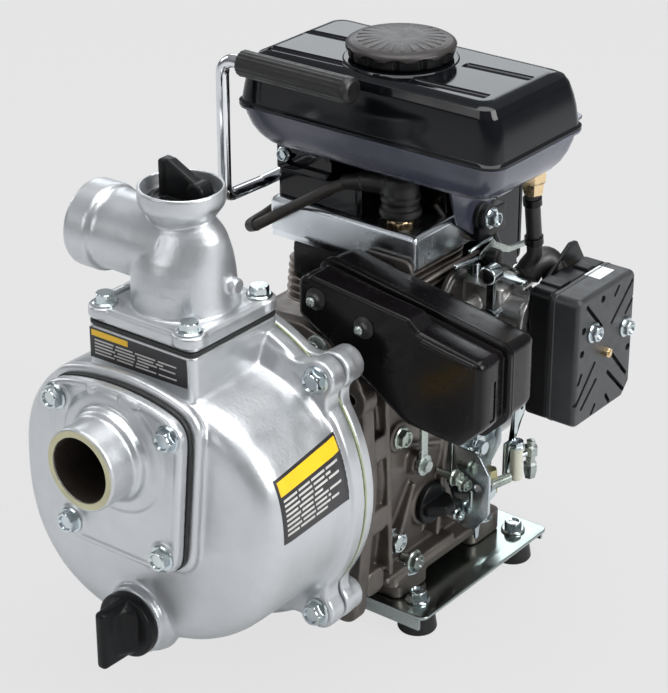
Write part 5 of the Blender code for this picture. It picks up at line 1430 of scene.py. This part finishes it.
# ============================================================ small fittings on the right side
bolt("side_drain", (67.5, 190.0, -108.0), RIGHT, 11.5, 6.5, 8.4, 8, 4, spin=0.2)
bolt("side_bolt_b", (70.5, 207, -129), RIGHT, 9.6, 5.0, 7.0, 8, 3, mat="dullzinc", spin=0.7)

piece(turned([(-108, 0), (-108, 3.9), (-85.5, 3.9), (-85.5, 0)], "z", (84, 296.4, 0), 40, r=0.5),
      "clamp_sleeve", "cream")
strap = slab([(292, -112), (302, -112), (302, -66), (312, -60), (314, -66), (306, -76),
              (304, -84), (292, -84)], [1, 1, 3, 3, 3, 3, 2, 1], 76.6, 78.4, "x", edge=0.3,
             seg=5)
piece(combine(strap, cut(cyl(1.6, 70, 80, "x", (0, 309.5, -65.4), 20))), "clamp_strap", "zinc")
bolt("clamp_screw_a", (84, 296.4, -85.6), UP, 8, 4.4, 5.0)
piece(turned([(-114, 0), (-114, 3.4), (-109, 4.6), (-104, 4.6), (-103, 3.2), (-99, 3.2),
              (-98, 4.6), (-92, 4.6), (-91, 3.0), (-88, 3.0), (-88, 0)], "z", (84, 312.6, 0), 6,
             r=0.3), "cable_screw", "dullzinc")
piece(tube([(79, 300, -96), (82, 306, -96), (84, 312, -96)], 1.7), "cable_screw_arm", "zinc")
piece(turned([(-84.5, 0), (-84.5, 4.4), (-70.5, 4.4), (-70.5, 0)], "z", (84, 247.6, 0), 48),
      "stop_post", "zinc")
bolt("stop_screw", (84, 247.6, -70.4), UP, 7.4, 4.0, 4.8)
piece(slab([(241.4, -88.6), (245, -95.2), (262, -101.4), (268, -99.4), (269, -105.4),
            (253, -108.4), (250.4, -127), (247.6, -127.4), (245.4, -110), (241.4, -102)],
           [1.6, 3, 2, 3, 3, 4, 1.2, 1.2, 4, 3], 86.6, 88.2, "x", edge=0.3, seg=5),
      "three_arm_lever", "zinc")
piece(turned([(80, 0), (80, 5.2), (86.4, 5.2), (86.4, 0)], "x", (0, 249, -103), 36),
      "lever_bush", "dullzinc")
# name, place, across flats, head height, flange radius, shank length and radius
for name, at, *sizes in (
        ("lever_pivot_screw", (88.3, 249, -103), 6.6, 3.2, 4.4),
        ("link_screw_a", (81, 232.5, -79.5), 8.4, 4.8, 5.4, 12, 2.4),
        ("link_screw_b", (81, 241.0, -88.4), 6.6, 4.4, 4.4, 10, 2.0)):
    bolt(name, at, RIGHT, *sizes, mat="dullzinc")
bolt("stop_ball_screw", (80, 237.4, -107.4), RIGHT, 6, 4.6, 4.0, 10, 2.0)
piece(coil((85.5, 262, -98), (84, 290, -104), 2.6, 0.65, 16), "return_spring", "dullzinc",
      angle=60)
piece(turned([(-108, 0), (-108, 5.2), (-101, 5.8), (-92, 4.8), (-92, 0)], "z", (80, 273, 0), 6,
             r=0.4), "link_nut", "dullbrass")
piece(tube([(79.2, 205, -20), (82, 214, -8), (84, 236, 6), (84, 252, 16)], 1.1, 14),
      "governor_rod", "zinc")

# rods and thin strips beside the carburettor
for k, (start, end, mat) in enumerate((((76, 236, 55.0), (76, 311, 45.6), "zinc"),
                                       ((75, 252, 58.5), (75, 274, 60.2), "zinc"),
                                       ((73, 205, 54.0), (74, 262, 55.0), "casting"))):
    middle = (Vector(start) + Vector(end)) / 2 + Vector((0, 0, 0.8))
    piece(tube(bend([start, middle, end], 6, 4), 1.25), "throttle_rod_%d" % k, mat)
piece(slab([(258, 56), (272, 61), (274, 58.5), (290, 50), (308, 46.6), (309, 44.4), (288, 46.8),
            (270, 54.2), (258, 52.8)], 1, 77.4, 78.3, "x", edge=0.2, seg=3),
      "rod_strip", "dullzinc")
piece(block(70.5, 73.2, 255, 260.5, 26, 53.5, 1.4, "x"), "lever_upright", "greenzinc")
piece(turned([(24, 0), (24, 2.4), (50, 2.4), (50, 0)], "z", (75.6, 258, 0), 24, r=0.5),
      "upright_pin", "zinc")
piece(slab([(252, 32), (256, 33), (296, 11), (317, -2.4), (316, -9.4), (296, 0.5), (252, 22)],
           [1, 2, 4, 2, 2, 4, 2], 68.6, 71.0, "x", edge=0.4, seg=5), "intake_deck", "dullzinc")
piece(turned([(76, 0), (76, 8.6), (79, 9.4), (83, 9.2), (86.5, 8.0), (86.5, 0)], "x",
             (0, 277.4, 33.6), 48, r=1.2), "round_cap_a", "rubber")
piece(turned([(74, 0), (74, 5.2), (84.5, 4.9), (84.5, 0)], "x", (0, 268.4, 51.6), 40, r=1.1),
      "round_cap_b", "rubber")
bolt("idle_screw", (88.5, 284.6, 33.6), (1, -0.1, 0.25), 5.6, 3.6, 3.8, 10, 1.8, mat="chrome")
piece(coil((90, 279.6, 44.5), (89, 285.0, 34.5), 2.6, 0.7, 6), "idle_spring", "chrome", angle=60)
piece(block(62, 74, 262, 290, 60.5, 78, 3, "x"), "coil_block", "plastic")
piece(tube(spline([(60, 268, 84), (66, 276, 70), (68, 286, 58), (66, 296, 40), (62, 300, 18)]),
           2.3, 18), "wire_loom", "rubber")
piece(tube(spline([(58, 240, 88), (64, 250, 72), (67, 262, 62), (66, 276, 58)]), 1.6, 14),
      "wire_thin", "lead")

# ============================================================ fan housing and recoil starter
housing = lathe([(300.7, 0), (300.7, 76.6), (301.4, 78), (329.4, 78), (329.4, 0)], "y", SHAFT,
                144)
steps = add(block(-40, 58, 300.7, 329.4, 0, 78, 6, "y", 1.0))
steps += cut(lathe([(302.6, 0), (302.6, 76), (340, 76), (340, 0)], "y", SHAFT, 144),
             block(-38, 56, 303.1, 345, 0.7, 76, 4, "y", 0.1),
             cyl(26, 290, 310, "y", SHAFT, 64), box(-30, 48, 290, 312, 26, 70))
crisp(combine(housing, steps), "fan_housing_skin", "enamel", "fan_housing", bevel=0.5, seg=2)

# (y, radius) of the starter's dish
DISH = [(330, 0), (330, 77.4), (333, 77.4), (334.5, 76.4), (341, 75), (346, 70.6), (350, 66),
        (354.2, 56), (355.6, 51), (356, 47), (356, 0)]
steps = add(block(-40, 58, 330, 333, 20, 77.4, 6, "y", 0.8),
            turned([(331, 0), (331, 9.0), (338, 9.0), (338, 0)], "y", (-60, 0, 4), 40))
steps += cut(lathe([(325, 0), (325, 74.5), (340, 73), (348, 64), (353.8, 49), (353.8, 0)], "y",
                   SHAFT, 144),
             block(-96, -40, 338.5, 347.5, 4.5, 13.5, 3, "x", 0.1))
for k in range(16):
    # radial vents
    t = 2 * math.pi * (k + 0.5) / 16
    out = Vector((math.cos(t), math.sin(t)))
    side = Vector((-out.y, out.x))
    vent = [out * 25 - side * 1.9, out * 45 - side * 2.9, out * 45 + side * 2.9,
            out * 25 + side * 1.9]
    steps += cut(slab([(p.x, p.y) for p in vent], 1.5, 345, 360, "y", SHAFT, edge=0.05, seg=4))
for k in range(28):
    # two circles of small holes, taken by turns
    t = 2 * math.pi * (k + 0.5) / 28
    r = 14.5 if k % 2 else 19.5
    steps += cut(cyl(1.7, 345, 362, "y", (r * math.cos(t), 0, SHAFT_Z + r * math.sin(t)), 12))
crisp(combine(turned(DISH, "y", SHAFT, 144, r=1.6), steps), "recoil_skin", "enamel",
      "recoil_cover", bevel=0.4, seg=2)
RECOIL_SCREWS = [(x * 0.96, SHAFT_Z + (z - SHAFT_Z) * 0.80)
                 for x, z in ((-62, -95), (62, -95), (-66, 14))] + [(50, 69)]
for k, (x, z) in enumerate(RECOIL_SCREWS):
    bolt("recoil_screw_%d" % k, (x, 333.0, z), (0, 1, 0), 7.4, 3.6, 5.2, spin=k)

steps = add(turned([(-79, 0), (-79, 6), (-72, 4.6), (-70, 3.4), (-70, 0)], "x", (0, 343, 9), 36))
for z in (-7, -1, 19, 25):
    steps += cut(turned([(330, 0), (330, 1.4), (356, 1.4), (356, 0)], "y", (-92.4, 0, z), 20))
cast(combine(block(-92, -77.6, 337.6, 348.4, -14, 32, 5, "x", 2.2, 6, 4), steps),
     "starter_grip_skin", "plastic", "starter_grip", "starter_grip", voxel=0.6, iters=3)
rope = solid_object(tube([(-30 - 2.0 * k, 343, 9) for k in range(21)], 1.7, cap=0.3),
                    "starter_rope", "rope")
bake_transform(rope)

# ============================================================ base plate and feet
# (inward, up) section of the turned-down front and back edges
FOLD = [(0, -9.2), (0.0, -2.4), (0.7, -0.7), (2.4, 0.0), (6.0, 0.0), (6.0, -2.0), (3.2, -2.0),
        (2.2, -2.6), (2.0, -3.6), (2.0, -9.2)]
steps = []
for y, inward in ((PLATE_Y0, 1), (PLATE_Y1, -1)):
    steps += add(prism([(y + inward * u, PLATE_TOP + v) for u, v in FOLD],
                       -PLATE_X + 4, PLATE_X - 4, "x"))
steps += cut(*[cyl(4.3, -160, -140, "z", (x, y, 0), 32) for x, y in FEET],
             *[cyl(4, -160, -140, "z", (x, y, 0), 24) for x, y in ENGINE_BOLTS])
sheet = slab(oblong(-PLATE_X, PLATE_X, PLATE_Y0, PLATE_Y1), 5, PLATE_TOP - 2, PLATE_TOP, "z",
             edge=0.5)
piece(combine(sheet, steps), "base_plate_skin", "plate", "base_plate", angle=40)
# (z, radius)
FOOT = [(FLOOR_Z, 0), (FLOOR_Z, 11.2), (FLOOR_Z + 1.4, 12), (FLOOR_Z + 6, 11.3),
        (FLOOR_Z + 12, 10.4), (PLATE_TOP - 2.3, 10.2), (PLATE_TOP - 2.3, 4.0),
        (PLATE_TOP + 0.2, 4.0), (PLATE_TOP + 0.2, 0)]
for i, (x, y) in enumerate(FEET):
    piece(turned(FOOT, "z", (x, y, 0), 64, r=0.8), "foot_skin_%d" % (i + 1), "rubber",
          "foot_%d" % (i + 1))
    bolt("foot_screw_%d" % (i + 1), (x, y, PLATE_TOP + 0.15), UP, 9.6, 6.6, 7.6, spin=0.5 + i)

# ============================================================ parts kept from the CAD
for name, mat in (("volute", "iron"), ("impeller", "iron"), ("seal_head", "rubber"),
                  ("seal_seat", "ceramic"), ("inlet_flap", "rubber"), ("crankshaft", "steel"),
                  ("flywheel", "casting"), ("piston", "steel"), ("starter_pulley", "plastic")):
    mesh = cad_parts[name].data
    mesh.materials.clear()
    mesh.materials.append(MATERIALS[mat])


# ============================================================ floor, light and camera
def floor_material():
    """Seen directly, the floor is mostly an even pale sheet with the shadow held faint."""
    mat = bpy.data.materials.new("pale_floor")
    mat.use_nodes = True
    tree = mat.node_tree
    shader = tree.nodes["Principled BSDF"]
    shader.inputs["Roughness"].default_value = 0.9
    shader.inputs["Specular IOR Level"].default_value = 0.1
    seen = node(tree, "LightPath", {}).outputs["Is Camera Ray"]
    lit = node(tree, "Mix", {"A": (0.62, 0.625, 0.63, 1), "B": (0.52, 0.52, 0.52, 1),
                             "Factor": seen}, data_type="RGBA")
    tree.links.new(lit.outputs["Result"], shader.inputs["Base Color"])
    glow = node(tree, "Emission", {"Color": (0.791, 0.791, 0.791, 1)})
    even_share = node(tree, "Math", {0: seen, 1: 0.92}, operation="MULTIPLY")
    even = node(tree, "MixShader", {"Fac": even_share.outputs["Value"],
                                    1: shader.outputs["BSDF"], 2: glow.outputs["Emission"]})
    tree.links.new(even.outputs["Shader"], tree.nodes["Material Output"].inputs["Surface"])
    return mat


floor_mesh = bpy.data.meshes.new("floor")
grid = bmesh.new()
bmesh.ops.create_grid(grid, x_segments=2, y_segments=2, size=12)
grid.to_mesh(floor_mesh)
grid.free()
floor = link_object("floor", floor_mesh)
floor_mesh.materials.append(floor_material())
floor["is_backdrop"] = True

# the sky brightens from the horizon up
world = bpy.data.worlds.new("studio")
bpy.context.scene.world = world
world.use_nodes = True
tree = world.node_tree
generated = node(tree, "TexCoord", {}).outputs["Generated"]
sky_height = node(tree, "SeparateXYZ", {"Vector": generated}).outputs["Z"]
sky = node(tree, "ValToRGB", {"Fac": sky_height})
low, high = sky.color_ramp.elements
low.position, high.position = 0.0, 0.9
low.color = (0.17, 0.175, 0.185, 1)
high.color = (0.42, 0.43, 0.45, 1)
background = tree.nodes["Background"]
tree.links.new(sky.outputs["Color"], background.inputs["Color"])
background.inputs["Strength"].default_value = 0.9

# name, place, point aimed at, width, height (metres), power (watts), colour
LAMPS = [
    ("top_box", (0.1, 0.1, 2.2), (0, 0, 0.1), 1.9, 1.9, 44, (1, 1, 1)),
    ("key_box", (1.9, 0.2, 1.3), (0, 0, 0.15), 1.2, 1.2, 40, (1, 1, 1)),
    ("front_box", (-0.9, -2.3, 1.2), (0, 0, 0.15), 1.1, 1.1, 8.5, (1, 1, 1)),
    ("back_box", (-1.5, 2.0, 1.35), (0, 0, 0.2), 1.7, 1.0, 12, (0.92, 0.97, 1.0)),
    ("left_box", (-2.2, 0.0, 1.0), (0, 0, 0.15), 1.0, 1.0, 8, (1, 1, 1)),
]
for name, at, aim, width, height, power, colour in LAMPS:
    light = bpy.data.lights.new(name, "AREA")
    light.shape = "RECTANGLE"
    light.size, light.size_y = width, height
    light.energy = power
    light.color = colour
    lamp = link_object(name, light)
    lamp.location = at
    lamp.rotation_mode = "QUATERNION"
    lamp.rotation_quaternion = (Vector(aim) - Vector(at)).to_track_quat("-Z", "Y")
    lamp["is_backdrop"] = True

camera_data = bpy.data.cameras.new("camera")
camera = link_object("camera", camera_data)
CAMERA_AT = (0.7195, -0.9296, 0.7567)
backward = Vector((0.5479, -0.7115, 0.4399)).normalized()
upward = Vector((-0.2684, 0.3485, 0.8980))
rightward = upward.cross(backward).normalized()
upward = backward.cross(rightward).normalized()
rows = zip(rightward, upward, backward, CAMERA_AT)
camera.matrix_world = Matrix((*rows, (0, 0, 0, 1)))
camera_data.lens = 118.44
camera_data.sensor_width = 36
camera_data.clip_start, camera_data.clip_end = 0.05, 60
bpy.context.scene.camera = camera
bpy.context.scene.view_settings.view_transform = "Standard"

low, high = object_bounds()
